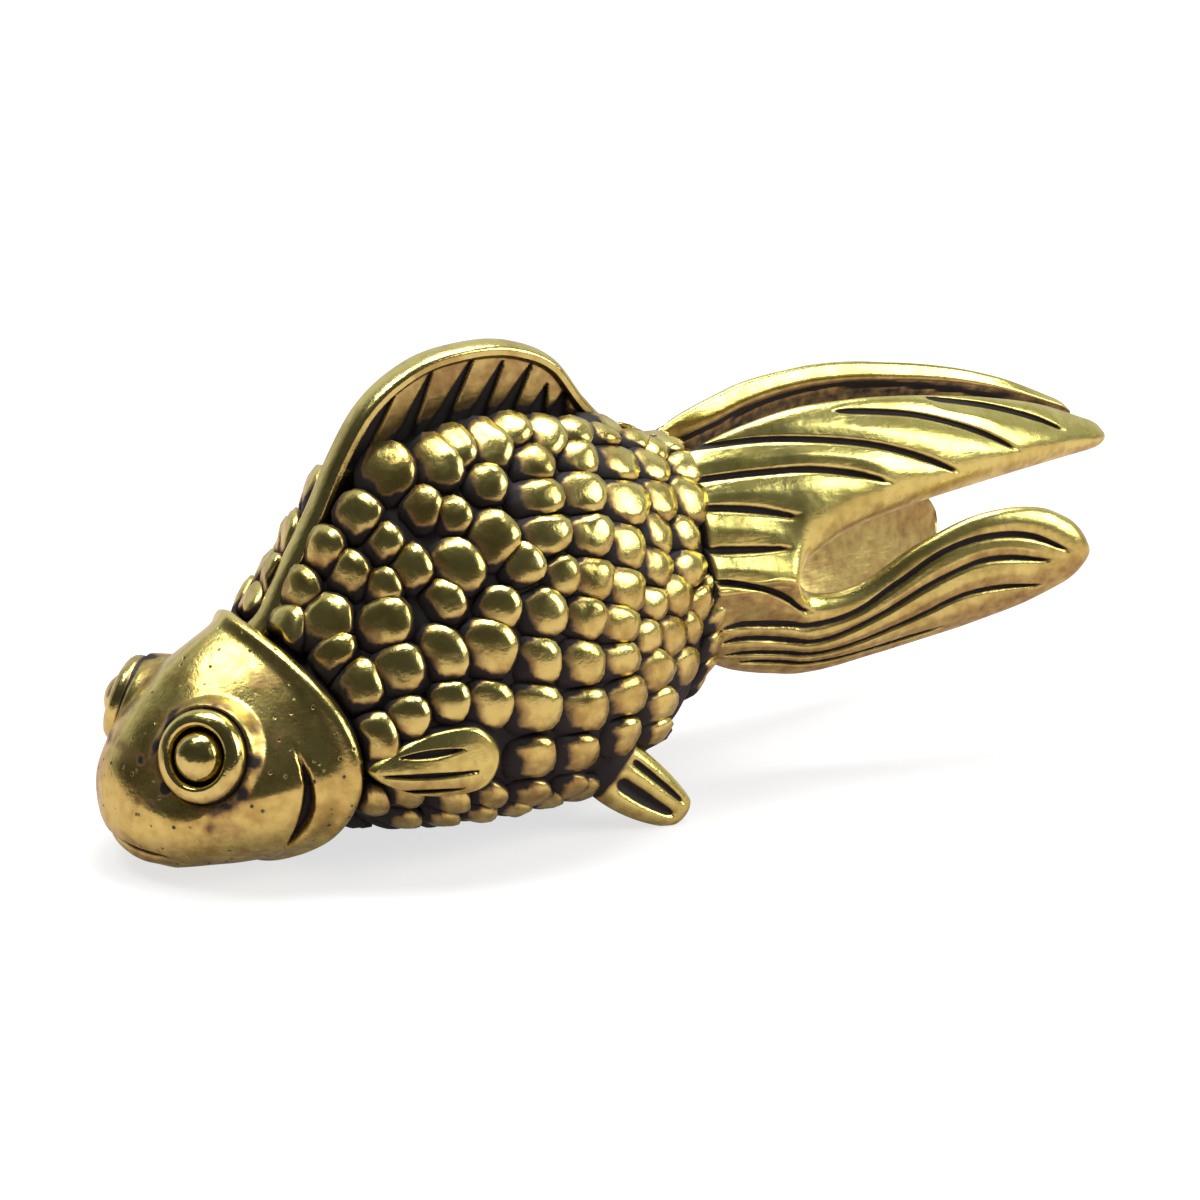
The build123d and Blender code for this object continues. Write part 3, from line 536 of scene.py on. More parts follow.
# The flat seat of an eye ring: the head's skin is drawn to it softly where it lies lower, and over a
# wider slope where it is cut down. Under the ring lies a bed, and patina stains the head round it.
socket_radius = 2.1 * mm
socket_reach = 4.2 * mm
socket_depth = 2.2 * mm
seat_height = 0.02 * mm
seat_edge = 0.1 * mm
raised_slope = 0.35 * mm
cut_slope = 1.5 * mm
bed_depth = 0.10 * mm
bed_edges = (1.90 * mm, 2.15 * mm)
bed_patina = 0.95
bed_patina_edges = (1.90 * mm, 2.10 * mm)
eye_stain = 0.80
eye_stain_width = 0.60 * mm
eye_stain_level = 0.68
eye_stain_patch = 0.8 * mm

# Gill slit in side view: height, then how far behind the snout its middle lies, and its half width
gill_line = (
    (1.3 * mm, 5.80 * mm, 0.02 * mm), (1.8 * mm, 5.90 * mm, 0.16 * mm), (2.6 * mm, 6.10 * mm, 0.26 * mm),
    (3.6 * mm, 6.25 * mm, 0.26 * mm), (4.6 * mm, 6.25 * mm, 0.18 * mm), (5.5 * mm, 6.12 * mm, 0.09 * mm),
    (6.3 * mm, 5.95 * mm, 0.02 * mm),
)
# Stains on the cheek: how far behind the snout, height, radius and depth of the patina
cheek_stains = (
    (5.3 * mm, 6.2 * mm, 1.5 * mm, 0.44), (5.9 * mm, 8.2 * mm, 0.8 * mm, 0.50),
    (7.0 * mm, 6.7 * mm, 0.5 * mm, 0.62), (3.0 * mm, 3.0 * mm, 0.7 * mm, 0.44),
    (1.0 * mm, 5.1 * mm, 0.4 * mm, 0.60), (0.9 * mm, 3.6 * mm, 0.4 * mm, 0.60),
)
cheek_patch = 0.5 * mm
cheek_patchiness = 0.8


@cache
def head_side(share, turn):
    return section_point(
        turn,
        head_width / 2 * follow(head_shares, share, 1),
        head_height * follow(head_shares, share, 2),
        max(0.0, head_height * follow(head_shares, share, 3)),
        follow(head_shares, share, 4),
        follow(head_back_powers, share),
        head_belly_power,
    )


def head_point(share, turn):
    side, height = head_side(share, turn)
    return Vector((snout_x + head_length * share, side, height))


def head_outward(share, turn):
    along = head_point(share + 0.01, turn) - head_point(share - 0.01, turn)
    around = head_point(share, turn + 1) - head_point(share, turn - 1)
    return around.cross(along).normalized()


@cache
def rim_share(turn):
    """Where the rim ends the head at a turn."""
    share = 1.2
    for _ in range(12):
        share = (rim_x(head_side(share, turn)[1]) - snout_x) / head_length
    return share


def eye_axes(side):
    """Middle of an eye on the head, the way that it looks, and two ways across it."""
    middle = Vector((snout_x + eye_behind_snout, side * eye_spacing / 2, eye_height))
    aim = Vector((eye_aim[0], side * eye_aim[1], eye_aim[2])).normalized()
    across = Vector((0, 0, 1)).cross(aim).normalized()
    return middle, aim, across, aim.cross(across)


def with_gill(point, outward):
    """A point of the head once the gill slit is cut, with a low swelling behind it, and its patina."""
    if not gill_line[0][0] < point.z < gill_line[-1][0]:
        return point, 0.0
    behind = point.x - snout_x - follow(gill_line, point.z, 1)
    half = max(gill_narrowest, follow(gill_line, point.z, 2))
    cut = 1 - eased(abs(behind) / half, *gill_walls)
    strength = eased(half, *gill_full_width)
    swelling = eased(behind, 0, gill_swelling_crest)
    swelling *= 1 - eased(behind, gill_swelling_crest, gill_swelling_end)
    point = point + outward * (gill_swelling * swelling - gill_depth * cut) * strength
    return point, cut * strength * groove_patina


def with_mouth(point, outward):
    """A point of the head once the mouth line is cut, with a lip under it, and its patina."""
    from_snout = point.x - snout_x
    line = mouth_height - mouth_fall * from_snout
    fade = 1 - eased(from_snout, *mouth_fade)
    cut = bell(point.z - line, mouth_width) * fade
    point = point - outward * mouth_depth * cut
    lip = bell(point.z - line + lip_drop, lip_width) * fade
    return point + outward * lip_swelling * lip, groove_patina * cut


def with_sockets(point):
    """A point of the head once the flat seats of the eye rings are made, and the patina round them."""
    depth = 0.0
    for side in (-1, 1):
        middle, aim, _, _ = eye_axes(side)
        off = point - middle
        rise = off.dot(aim)
        away = (off - aim * rise).length
        if away < socket_reach and abs(rise) < socket_depth:
            slope = cut_slope if rise > 0 else raised_slope
            flat = 1 - eased(away, socket_radius - seat_edge, socket_radius + slope)
            bed = 1 - eased(away, *bed_edges)
            point = point + aim * (flat * (seat_height - rise) - bed * bed_depth)
            patches = eye_stain_level + noise.noise(point / eye_stain_patch)
            stain = eye_stain * bell(away - socket_radius, eye_stain_width) * patches
            depth = max(depth, bed_patina * (1 - eased(away, *bed_patina_edges)), stain)
    return point, depth


def cheek_patina(point):
    patches = 1 + cheek_patchiness * noise.noise(point / cheek_patch)
    return max(
        darkness * bell(hypot(point.x - snout_x - behind, point.z - height), radius) * patches
        for behind, height, radius, darkness in cheek_stains)


def head_place(along, around):
    turn = 360 * around
    end = rim_share(turn)
    skin = end - rim_round / head_length
    if at_end(along):
        return (snout_tip, 0.0) if along < skin_end else (neck_inside, 1.0)
    if along > rim_end:
        inside = (along - rim_end) / (1 - rim_end)
        return head_point(skin, turn).lerp(neck_inside, 0.12 + 0.8 * inside), 1.0
    share = skin * max(first_row, min(along, skin_end) / skin_end) ** snout_crowding
    point, outward = head_point(share, turn), head_outward(share, turn)
    on_rim = max(0.0, (along - skin_end) / (rim_end - skin_end))
    bend = on_rim * pi / 2
    point += Vector((sin(bend) * rim_round, 0, 0)) - outward * (1 - cos(bend)) * rim_round
    point += outward * rim_bead * bell((end - share) * head_length - rim_bead_before, rim_bead_width)
    point, gill = with_gill(point, outward)
    point, mouth = with_mouth(point, outward)
    point, socket = with_sockets(point)
    depth = max(eased(on_rim, *rim_patina), gill, mouth, socket, cheek_patina(point))
    point += outward * head_lump * noise.noise(point / head_lump_size)
    point.z = max(point.z, 0.0)
    return point, depth


head = rolled("head_cap", 150, 300, head_place)
head.data.materials.append(antique_brass(
    "head_brass", (0.80, 0.68, 0.22, 1), (0.52, 0.39, 0.11, 1), 0.23, grime=-0.15, pits=0.9))
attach(head, "root")
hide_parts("head")


# Eyes: a raised ring pressed into its seat in the head, and a domed pin in the middle of it.
# Turned and polished brass; the channel between them is black with patina.
ring_profile = (
    (1.16, -0.5), (1.16, 0.30), (1.19, 0.52), (1.27, 0.66), (1.38, 0.70), (1.50, 0.66), (1.66, 0.58),
    (1.79, 0.46), (1.87, 0.28), (1.89, 0.08), (1.86, -0.5),
)
pin_profile = (
    (0.0, -0.5), (1.06, -0.5), (1.09, 0.05), (1.09, 0.22), (1.03, 0.48), (0.90, 0.74), (0.70, 0.94),
    (0.47, 1.06), (0.23, 1.13), (0.0, 1.14),
)
spin_steps = 72
# Heights over the seat between which the patina gives way to polish
ring_polish_heights = (-0.05 * mm, 0.2 * mm)
pin_polish_heights = (0.0 * mm, 0.2 * mm)


def turned(name, profile, closed, side, polish):
    """A piece turned round an eye's axis from its profile of radius and height, in millimetres."""
    bm = bmesh.new()
    patina = bm.verts.layers.float.new("patina")
    corners = [bm.verts.new((radius * mm, 0, height * mm)) for radius, height in profile]
    ends = corners[1:] + corners[:1] if closed else corners[1:]
    edges = [bm.edges.new(pair) for pair in zip(corners, ends)]
    bmesh.ops.subdivide_edges(bm, edges=edges, cuts=2, smooth=0)
    bmesh.ops.spin(
        bm, geom=[*bm.verts, *bm.edges], cent=(0, 0, 0), axis=(0, 0, 1), angle=tau, steps=spin_steps,
        use_merge=True)
    bmesh.ops.remove_doubles(bm, verts=bm.verts, dist=weld)
    for vertex in bm.verts:
        vertex[patina] = 1 - eased(vertex.co.z, *polish)
    middle, aim, across, upward = eye_axes(side)
    bm.transform(Matrix.Translation(middle) @ Matrix((across, upward, aim)).transposed().to_4x4())
    return finished(name, bm)


eye_brass = antique_brass("eye_brass", (0.82, 0.72, 0.25, 1), (0.62, 0.52, 0.15, 1), 0.14)
for side, flank in ((-1, "left"), (1, "right")):
    ring = turned("eye_ring_" + flank + "_bead", ring_profile, True, side, ring_polish_heights)
    pin = turned("pupil_" + flank + "_pin", pin_profile, False, side, pin_polish_heights)
    for piece, node in ((ring, "eye_ring_" + flank), (pin, "pupil_" + flank)):
        piece.data.materials.append(eye_brass)
        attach(piece, "root")
        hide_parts(node)


# Back fin: a thin upright casting set in a slot along the back. A polished bead runs round its edge, its
# faces are sunk, brown with tarnish, and dark wedge grooves rise from its foot as the fin's rays.
fin_height = body_height + 2.5 * mm
fin_crest = (
    (-0.030, 0.420), (0.045, 0.490), (0.100, 0.595), (0.155, 0.700), (0.198, 0.795), (0.255, 0.890),
    (0.360, 0.972), (0.480, 1.000), (0.590, 0.990), (0.680, 0.940), (0.740, 0.855), (0.800, 0.790),
    (0.870, 0.750),
)
bead_round = 0.30 * mm
bead_width = 0.50 * mm
bead_step = 0.18 * mm
face_half_thickness = 0.45 * mm
fin_ray_depth = 0.18 * mm
fin_ray_tip_half = 0.05 * mm
fin_ray_spread = 0.42 * mm
fin_ray_walls = (0.55, 1.25)
fin_ray_overrun = 0.5
# The fin reaches this far into the trunk. Its depth there is found by going in from the crest.
fin_rooted = 1.1 * mm
fin_probe = 0.02 * mm
shallowest_fin, deepest_fin = 0.3 * mm, 6 * mm
crest_step = 0.002
crest_lean = 0.5
# Patina of the faces, more of it near the trunk, and a line of it under the bead
face_patina = 0.24
fin_foot_patina = 0.5
fin_foot_heights = (0.15 * mm, 0.9 * mm)
under_bead_patina = 0.45
under_bead_width = 0.2 * mm
# Tip and foot of each ray groove: share of the trunk's length, and height in millimetres
fin_rays = (
    (0.328, 18.41, 0.268, 16.69), (0.405, 19.04, 0.354, 16.78), (0.495, 19.44, 0.429, 17.12),
    (0.559, 19.10, 0.509, 17.20), (0.620, 18.81, 0.569, 17.11), (0.655, 17.86, 0.637, 16.93),
    (0.697, 17.49, 0.683, 16.80),
)


def share_along(rows, along):
    """Share of the length at a way, from 0 to 1, along what a table's rows cover."""
    return rows[0][0] + (rows[-1][0] - rows[0][0]) * along


def back_height(x):
    """Height of the bare trunk's back."""
    return trunk_point(min(1.0, max(0.0, (x - neck_x) / body_length)), 0).z


@cache
def crest_at(along):
    """Point of the fin's crest, the way in from it, and how deep the fin goes that way."""
    share = share_along(fin_crest, along)
    crest = Vector((neck_x + body_length * share, 0, fin_height * follow(fin_crest, share)))
    run = 2 * crest_step * body_length
    rise = fin_height * (follow(fin_crest, share + crest_step) - follow(fin_crest, share - crest_step))
    inward = Vector((max(rise, crest_lean * rise), 0, -run)).normalized()
    depth = shallowest_fin
    while depth < deepest_fin:
        spot = crest + inward * depth
        if back_height(spot.x) - fin_rooted > spot.z:
            break
        depth += fin_probe
    return crest, inward, depth


def beside(x, y, start, end):
    """How far a point lies from a line between two points, and its share of the way along it."""
    run, rise = end[0] - start[0], end[1] - start[1]
    share = ((x - start[0]) * run + (y - start[1]) * rise) / (run * run + rise * rise)
    share = min(1.0, max(0.0, share))
    return hypot(x - start[0] - run * share, y - start[1] - rise * share), share


def fin_place(along, around):
    crest, inward, deepest = crest_at(along)
    fold = abs(2 * around - 1)
    side = -1 if around < 0.5 else 1
    # points lie closer together near the crest, where the bead is round
    inside = deepest * (0.35 * fold ** 3 + 0.65 * fold ** 1.6)
    point = crest + inward * inside
    if at_end(along) or fold > 1 - end_margin:
        return point, 1.0
    bead = sqrt(max(0.0, 1 - (1 - min(1.0, inside / bead_round)) ** 2)) * fin_half_thickness
    on_face = eased(inside, bead_width, bead_width + bead_step)
    thick = bead + (face_half_thickness - bead) * on_face
    cut = 0.0
    for tip_share, tip_z, foot_share, foot_z in fin_rays:
        tip = (neck_x + body_length * tip_share, tip_z * mm)
        low = (neck_x + body_length * foot_share, foot_z * mm)
        low = [foot + fin_ray_overrun * (foot - top) for foot, top in zip(low, tip)]
        off, way = beside(point.x, point.z, tip, low)
        half = fin_ray_tip_half + fin_ray_spread * way
        cut = max(cut, 1 - eased(off / half, *fin_ray_walls))
    thick -= fin_ray_depth * cut * on_face
    ridge = back_height(point.x) - fin_groove
    near_trunk = 1 - eased(point.z - ridge, *fin_foot_heights)
    under_bead = under_bead_patina * bell(inside - bead_width, under_bead_width)
    depth = on_face * max(face_patina + fin_foot_patina * near_trunk, cut * groove_patina, under_bead)
    return point + Vector((0, side * thick, 0)), depth


back_fin = rolled("back_fin", 260, 150, fin_place)
back_fin.data.materials.append(antique_brass(
    "back_fin_brass", (0.80, 0.70, 0.24, 1), (0.56, 0.45, 0.14, 1), 0.19, drawn=(0.4, 1.0, 1.0)))
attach(back_fin, "root")
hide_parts("dorsal_fin")


# Tail: two halves side by side, each cast in brass as an upper and a lower lobe bowed like petals, on a
# root that plugs into the trunk. Long ray grooves are black with patina, and the ridges between them are
# brushed bright along their length.
tail_start = 2.4 * mm
tail_length = 21.45 * mm
tail_spread = 12.2 * mm
tail_top = 15.9 * mm
lobe_thickness = 1.3 * mm
lobe_bow = 0.4 * mm
groove_depth = 0.22 * mm
ridge_height = 0.16 * mm
valley_half_width = 0.5 * mm
groove_half_width = 0.125 * mm
# Grooves are shallower where a lobe is thinner than this to each side, and on its inner face
thin_lobe = 0.4 * mm
inner_groove_share = 0.5
# The rim rolled inwards on the inner face of an upper lobe: its height, then its middle and width as
# shares of the half chord, and the shares of the tail over which it rises
rolled_rim = 0.30 * mm
rim_across, rim_across_width = 0.80, 0.13
rim_start = (0.02, 0.15)
right_droop = 3.2 * mm
right_lift = 0.5 * mm
tail_lump = 0.05 * mm
tail_lump_size = 2.2 * mm
lobe_rows, lobe_turns = 170, 150
# The outer face takes this share of a lobe's columns, because the deep grooves are there
outer_columns = 0.76
# Shares of a lobe over which its tip and its root close, and powers of its round and blunt edges
upper_tip, lower_tip, root_tip = 0.035, 0.06, 0.02
round_power, blunt_power = 2.4, 9
# How much more the face stands out towards the edge where a lobe joins the other
face_lean = 0.38
thickness_shares = ((0.0, 1.25), (0.2, 1.0), (0.5, 0.9), (0.8, 0.7), (1.0, 0.3))
# Share of the tail, then the upper edge (shares of half spread and of the top) and the lower edge
upper_lobe = (
    (-0.045, 0.25, 0.890, 0.51, 0.560), (0.000, 0.26, 0.915, 0.54, 0.560),
    (0.070, 0.29, 0.952, 0.59, 0.560), (0.150, 0.33, 0.983, 0.63, 0.562),
    (0.185, 0.345, 0.993, 0.64, 0.596), (0.225, 0.355, 1.000, 0.645, 0.634),
    (0.290, 0.37, 1.003, 0.65, 0.674), (0.390, 0.38, 1.000, 0.656, 0.707),
    (0.600, 0.335, 0.962, 0.57, 0.735), (0.800, 0.27, 0.900, 0.42, 0.745),
    (0.930, 0.22, 0.832, 0.27, 0.742), (0.985, 0.20, 0.800, 0.215, 0.746),
)
lower_lobe = (
    (-0.045, 0.51, 0.600, 0.24, 0.380), (0.000, 0.54, 0.600, 0.26, 0.345), (0.063, 0.59, 0.600, 0.295, 0.300),
    (0.130, 0.63, 0.598, 0.33, 0.275), (0.165, 0.645, 0.570, 0.35, 0.268), (0.195, 0.66, 0.522, 0.37, 0.264),
    (0.245, 0.69, 0.508, 0.41, 0.268), (0.320, 0.735, 0.530, 0.48, 0.285), (0.434, 0.80, 0.622, 0.57, 0.315),
    (0.576, 0.885, 0.692, 0.70, 0.362), (0.700, 0.95, 0.686, 0.82, 0.420), (0.765, 0.98, 0.645, 0.90, 0.470),
    (0.800, 0.99, 0.625, 0.94, 0.495),
)
# Each groove: shares of the tail and of its top height
joint_groove = ((-0.05, 0.612), (0.068, 0.574), (0.116, 0.543), (0.156, 0.509), (0.216, 0.486))
upper_grooves = (
    joint_groove,
    ((0.500, 0.978), (0.660, 0.921), (0.772, 0.865), (0.864, 0.801)),
    ((0.280, 0.979), (0.376, 0.962), (0.476, 0.933), (0.612, 0.861), (0.716, 0.782)),
    ((-0.05, 0.912), (0.032, 0.920), (0.128, 0.925), (0.216, 0.915), (0.356, 0.877), (0.464, 0.822),
     (0.560, 0.759)),
    ((-0.05, 0.832), (0.112, 0.842), (0.204, 0.839), (0.316, 0.807), (0.388, 0.769)),
    ((-0.05, 0.765), (0.084, 0.751), (0.188, 0.724)),
    ((-0.05, 0.675), (0.056, 0.669), (0.160, 0.663)),
)
lower_grooves = (
    joint_groove,
    ((0.000, 0.478), (0.056, 0.474), (0.196, 0.453), (0.292, 0.475), (0.380, 0.537), (0.472, 0.608),
     (0.568, 0.639), (0.660, 0.629), (0.760, 0.568)),
    ((0.000, 0.437), (0.060, 0.435), (0.220, 0.407), (0.340, 0.457), (0.476, 0.542), (0.568, 0.576),
     (0.724, 0.555)),
    ((0.020, 0.388), (0.060, 0.385), (0.236, 0.367), (0.396, 0.416), (0.532, 0.480), (0.716, 0.482)),
    ((0.060, 0.352), (0.216, 0.331), (0.388, 0.350), (0.520, 0.390)),
)
inner_grooves = (
    ((0.020, 0.870), (0.250, 0.930), (0.500, 0.925), (0.850, 0.830)),
    ((0.060, 0.720), (0.300, 0.800), (0.600, 0.800)),
)
# A groove deepens over the first of these shares of the tail and runs out over the second, and its half
# width narrows to the third share at its ends. Its walls are shares of that half width.
groove_start, groove_run_out, groove_narrowest = 0.05, 0.11, 0.45
groove_walls = (0.35, 1.45)
groove_step = 0.005
# The lobes are joined up to the notch at this share, and part within so much before and after it
notch = 0.165
notch_blend = 0.03
joint_reach = (-0.2, 0.6)
# Solid root behind the joined lobes, between them and its twin: middle and half sizes
root_middle = (3.6 * mm, 1.55 * mm, 10.2 * mm)
root_half_sizes = (3.0 * mm, 1.5 * mm, 3.4 * mm)
root_patina = 0.62
root_fade = (0.1 * mm, 0.6 * mm)


@cache
def groove_lines(grooves, share):
    """Height, slope and strength of each groove that passes a share of the tail."""
    lines = []
    for groove in grooves:
        first, last = groove[0][0], groove[-1][0]
        if first < share < last:
            rise = follow(groove, share + groove_step) - follow(groove, share - groove_step)
            slope = rise / (2 * groove_step) * tail_top / tail_length
            strength = eased(share, first, first + groove_start)
            strength *= 1 - eased(share, last - groove_run_out, last)
            lines.append((follow(groove, share), slope, strength))
    return lines


def lobe_painted_shade(is_upper, on_outside, across):
    """Painted shade between the grooves, put in the patina: little on the outer face, more on the inner one,
    which faces the other half.
    """
    if on_outside:
        return 0.0 if is_upper else 0.10
    if is_upper:
        return 0.30 * bell(across - 0.45, 0.25) + 0.25 * (1 - eased(across, 0.0, 0.6))
    return 0.34


def lobe_place(rows, grooves, side, droop, lift, along, around):
    share = share_along(rows, along)
    upper_y, upper_z, lower_y, lower_z = [follow(rows, share, column) for column in (1, 2, 3, 4)]
    past_notch = max(0.0, share - notch)
    hang = lift * sin(pi * past_notch) - droop * past_notch
    upper = Vector((0, side * tail_spread / 2 * upper_y, tail_top * upper_z + hang))
    lower = Vector((0, side * tail_spread / 2 * lower_y, tail_top * lower_z + hang))
    chord = (upper - lower) / 2
    middle = (upper + lower) / 2 + Vector((tail_start + tail_length * share, 0, 0))
    if at_end(along):
        return middle, 1.0 - along
    is_upper, on_outside = rows is upper_lobe, around < outer_columns
    if on_outside:
        angle = pi * around / outer_columns
    else:
        angle = pi + pi * (around - outer_columns) / (1 - outer_columns)
    across, rise = cos(angle), abs(sin(angle))
    thick = follow(thickness_shares, share)
    tip = upper_tip if is_upper else lower_tip
    closing = sqrt(1 - max(0.0, (along - 1 + tip) / tip, (root_tip - along) / root_tip) ** 2)
    # blunt where the other lobe joins on, rounded off past the notch
    joined = 1 - eased(share, notch - notch_blend, notch + notch_blend)
    joined *= eased(-across if is_upper else across, *joint_reach)
    rounded = (1 - abs(across) ** round_power) ** (1 / round_power)
    blunt = (1 - abs(across) ** blunt_power) ** (1 / blunt_power)
    edge = rounded + (blunt - rounded) * joined
    outward = Vector((0, side * chord.z, -side * chord.y)).normalized()
    outward = outward.lerp(Vector((0, side, 0)), joined).normalized()
    half = lobe_thickness / 2 * thick * edge * closing
    bow = rise ** 2 + (edge - rise ** 2) * joined
    lean = 1 - face_lean * across if is_upper else 1 + face_lean * across * joined
    # the grooves, each in a wider valley, so that rounded ridges stay between them
    cut = valley = 0.0
    for line_height, slope, strength in groove_lines(grooves if on_outside else inner_grooves, share):
        line = (2 * line_height - upper_z - lower_z) / (upper_z - lower_z)
        off = abs(across - line) * chord.length / sqrt(1 + slope * slope)
        width = groove_half_width * (groove_narrowest + (1 - groove_narrowest) * strength)
        cut = max(cut, (1 - eased(off / width, *groove_walls)) * eased(strength, 0.0, 0.35))
        valley = max(valley, strength * bell(off, valley_half_width))
    half -= groove_depth * cut * min(1.0, half / thin_lobe) * (1 if on_outside else inner_groove_share)
    height = ((half if on_outside else -half) + lobe_bow * thick * bow) * lean
    if on_outside:
        height += ridge_height * (1 - valley) * closing * edge
    elif is_upper:
        rim = bell(across - rim_across, rim_across_width) * eased(share, *rim_start)
        height -= rolled_rim * rim * closing
    point = middle + chord * across * closing + outward * height
    point += outward * tail_lump * noise.noise(point / tail_lump_size)
    at_root = 1 - eased((share - rows[0][0]) * tail_length, *root_fade)
    # patina of the grooves and of the lobe's root, and painted shade between the grooves
    return point, max(cut * groove_patina, at_root, lobe_painted_shade(is_upper, on_outside, across))


def tail_root(name, side):
    """A smooth lump between the lobes of one half and the middle, dark with patina."""
    bm = bmesh.new()
    patina = bm.verts.layers.float.new("patina")
    bmesh.ops.create_uvsphere(bm, u_segments=48, v_segments=32, radius=1.0)
    for vertex in bm.verts:
        spot = [middle + half * way for middle, half, way in zip(root_middle, root_half_sizes, vertex.co)]
        vertex.co = Vector((spot[0], side * spot[1], spot[2]))
        vertex[patina] = root_patina
    return finished(name, bm)


tail_brass = antique_brass(
    "tail_brass", (0.82, 0.74, 0.24, 1), (0.64, 0.55, 0.15, 1), 0.24, drawn=(0.18, 1.0, 1.0))
for side, flank in ((-1, "left"), (1, "right")):
    droop, lift = (right_droop, right_lift) if side > 0 else (0.0, 0.0)
    upper = partial(lobe_place, upper_lobe, upper_grooves, side, 0.0, lift)
    lower = partial(lobe_place, lower_lobe, lower_grooves, side, droop, 0.0)
    pieces = [
        rolled(f"tail_{flank}_upper_lobe", lobe_rows, lobe_turns, upper),
        rolled(f"tail_{flank}_lower_lobe", lobe_rows, lobe_turns, lower),
        tail_root(f"tail_{flank}_root", side),
    ]
    for piece in pieces:
        piece.data.materials.append(tail_brass)
        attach(piece, "root")
        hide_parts("tail_" + flank)


# Pectoral fins: small oval paddles pressed into pockets low on the flanks, thicker than a scale, with
# a rounded rim and three leaf-shaped grooves cut in their faces.
paddle_share, paddle_turn = 0.24, 98.8
paddle_length = 5.5 * mm
paddle_width = 3.0 * mm
paddle_proud = 0.95 * mm
paddle_dome = 0.42 * mm
paddle_under = 0.8 * mm
paddle_tilt = 0.16
paddle_face_share = 0.86
# Along the sheet of a paddle: its face up to here, then its round edge, then its underside
face_end, edge_end = 0.62, 0.86
edge_sunk_share = 0.74
paddle_groove_depth = 0.22 * mm
paddle_groove_walls = (0.35, 1.4)
paddle_groove_end = 0.8
paddle_patina = 0.08
paddle_polish_heights = (0.12 * mm, 0.42 * mm)
paddle_outline = (
    (-0.125, -0.30, -0.28), (0.0, -0.50, 0.04), (0.125, -0.28, 0.30), (0.25, 0.02, 0.47), (0.375, 0.36, 0.44),
    (0.5, 0.51, 0.0), (0.625, 0.38, -0.43), (0.75, 0.02, -0.47), (0.875, -0.30, -0.28), (1.0, -0.50, 0.04),
    (1.125, -0.28, 0.30),
)
# Both ends of each groove and its half width, in millimetres from the middle of the paddle
paddle_grooves = (
    (-1.40, 0.62, 1.20, 0.62, 0.15), (-2.25, -0.02, 1.70, -0.42, 0.12), (-1.75, -0.80, 1.05, -1.06, 0.09),
)


def paddle_place(side, along, around):
    point, to_tail, up, outward = trunk_frame(paddle_share, paddle_turn)
    if along < face_end:
        reach, height = along / face_end * paddle_face_share, paddle_proud
    elif along < edge_end:
        bend = (along - face_end) / (edge_end - face_end) * pi / 2
        reach = paddle_face_share + (1 - paddle_face_share) * sin(bend)
        height = paddle_proud * cos(bend)
    else:
        under = (along - edge_end) / (1 - edge_end)
        reach, height = 1 - under, -paddle_under * min(1.0, 3 * under)
    x = paddle_length * follow(paddle_outline, around, 1) * reach
    y = paddle_width * follow(paddle_outline, around, 2) * reach
    height -= paddle_dome * (reach ** 2 if along < face_end else edge_sunk_share)
    height -= paddle_tilt * y
    cut = 0.0
    if along < paddle_groove_end:
        for start_x, start_y, end_x, end_y, half in paddle_grooves:
            off, way = beside(x, y, (start_x * mm, start_y * mm), (end_x * mm, end_y * mm))
            leaf = half * mm * max(0.05, sin(pi * min(0.98, max(0.02, way)))) ** 0.7
            cut = max(cut, 1 - eased(off / leaf, *paddle_groove_walls))
        height -= paddle_groove_depth * cut
    spot = point + to_tail * x + up * y + outward * height
    ground = paddle_patina if along <= face_end else 1 - eased(height, *paddle_polish_heights)
    return Vector((spot.x, -side * spot.y, spot.z)), max(cut * groove_patina, ground)


# Pelvic fins: stout three-ridged fins in pockets under the flanks. The fish stands on their tips, which
# are cut flat, and on its chin. Their ridges are polished, and the two grooves between them are dark.
foot_share, foot_turn = 0.66, 129.0
foot_aim = Vector((0.70, -0.14, -0.70)).normalized()
foot_width_way = Vector((0.71, 0.06, 0.70))
foot_length = 4.1 * mm
foot_root = 1.2 * mm
foot_half_width = 1.35 * mm
foot_half_thickness = 0.75 * mm
foot_bend = 0.5 * mm
foot_tip = 0.07
foot_fullness = 0.8
# The two grooves, across the foot from -1 to 1: middle and half width of each, and where along the foot
# they begin and end. The first is a leaf, and the second stays narrow.
leaf_middle, leaf_width = -0.24, 0.24
narrow_middle, narrow_width = 0.50, 0.10
foot_groove_share = 0.42
foot_groove_start = (0.24, 0.36)
foot_groove_end = (0.80, 0.93)
foot_groove_patina = 1.15
foot_groove_dark = (0.2, 0.85)
foot_root_dark = (0.20, 0.30)
foot_widths = ((0.0, 0.95), (0.3, 1.05), (0.6, 0.95), (0.85, 0.70), (1.0, 0.45))


def foot_place(side, along, around):
    start = trunk_frame(foot_share, foot_turn)[0]
    wide = (foot_width_way - foot_aim * foot_width_way.dot(foot_aim)).normalized()
    outward = foot_aim.cross(wide)
    middle = start + foot_aim * ((foot_length + foot_root) * along - foot_root)
    middle += wide * foot_bend * along ** 2
    if at_end(along):
        return Vector((middle.x, -side * middle.y, max(0.0, middle.z))), 0.0
    width = follow(foot_widths, along) * sqrt(1 - max(0.0, (along - 1 + foot_tip) / foot_tip) ** 2)
    across, rise = cos(tau * around), sin(tau * around)
    leaf = sin(pi * along) ** 0.5
    cut = max(bell(across - leaf_middle, leaf_width * leaf), bell(across - narrow_middle, narrow_width))
    cut *= (1 - eased(along, *foot_groove_end)) * eased(along, *foot_groove_start)
    half = foot_half_thickness * width * copysign(abs(rise) ** foot_fullness, rise)
    half *= 1 - foot_groove_share * cut
    point = middle + wide * (foot_half_width * width * across) + outward * half
    depth = max(foot_groove_patina * eased(cut, *foot_groove_dark), 1 - eased(along, *foot_root_dark))
    return Vector((point.x, -side * point.y, max(0.0, point.z))), depth


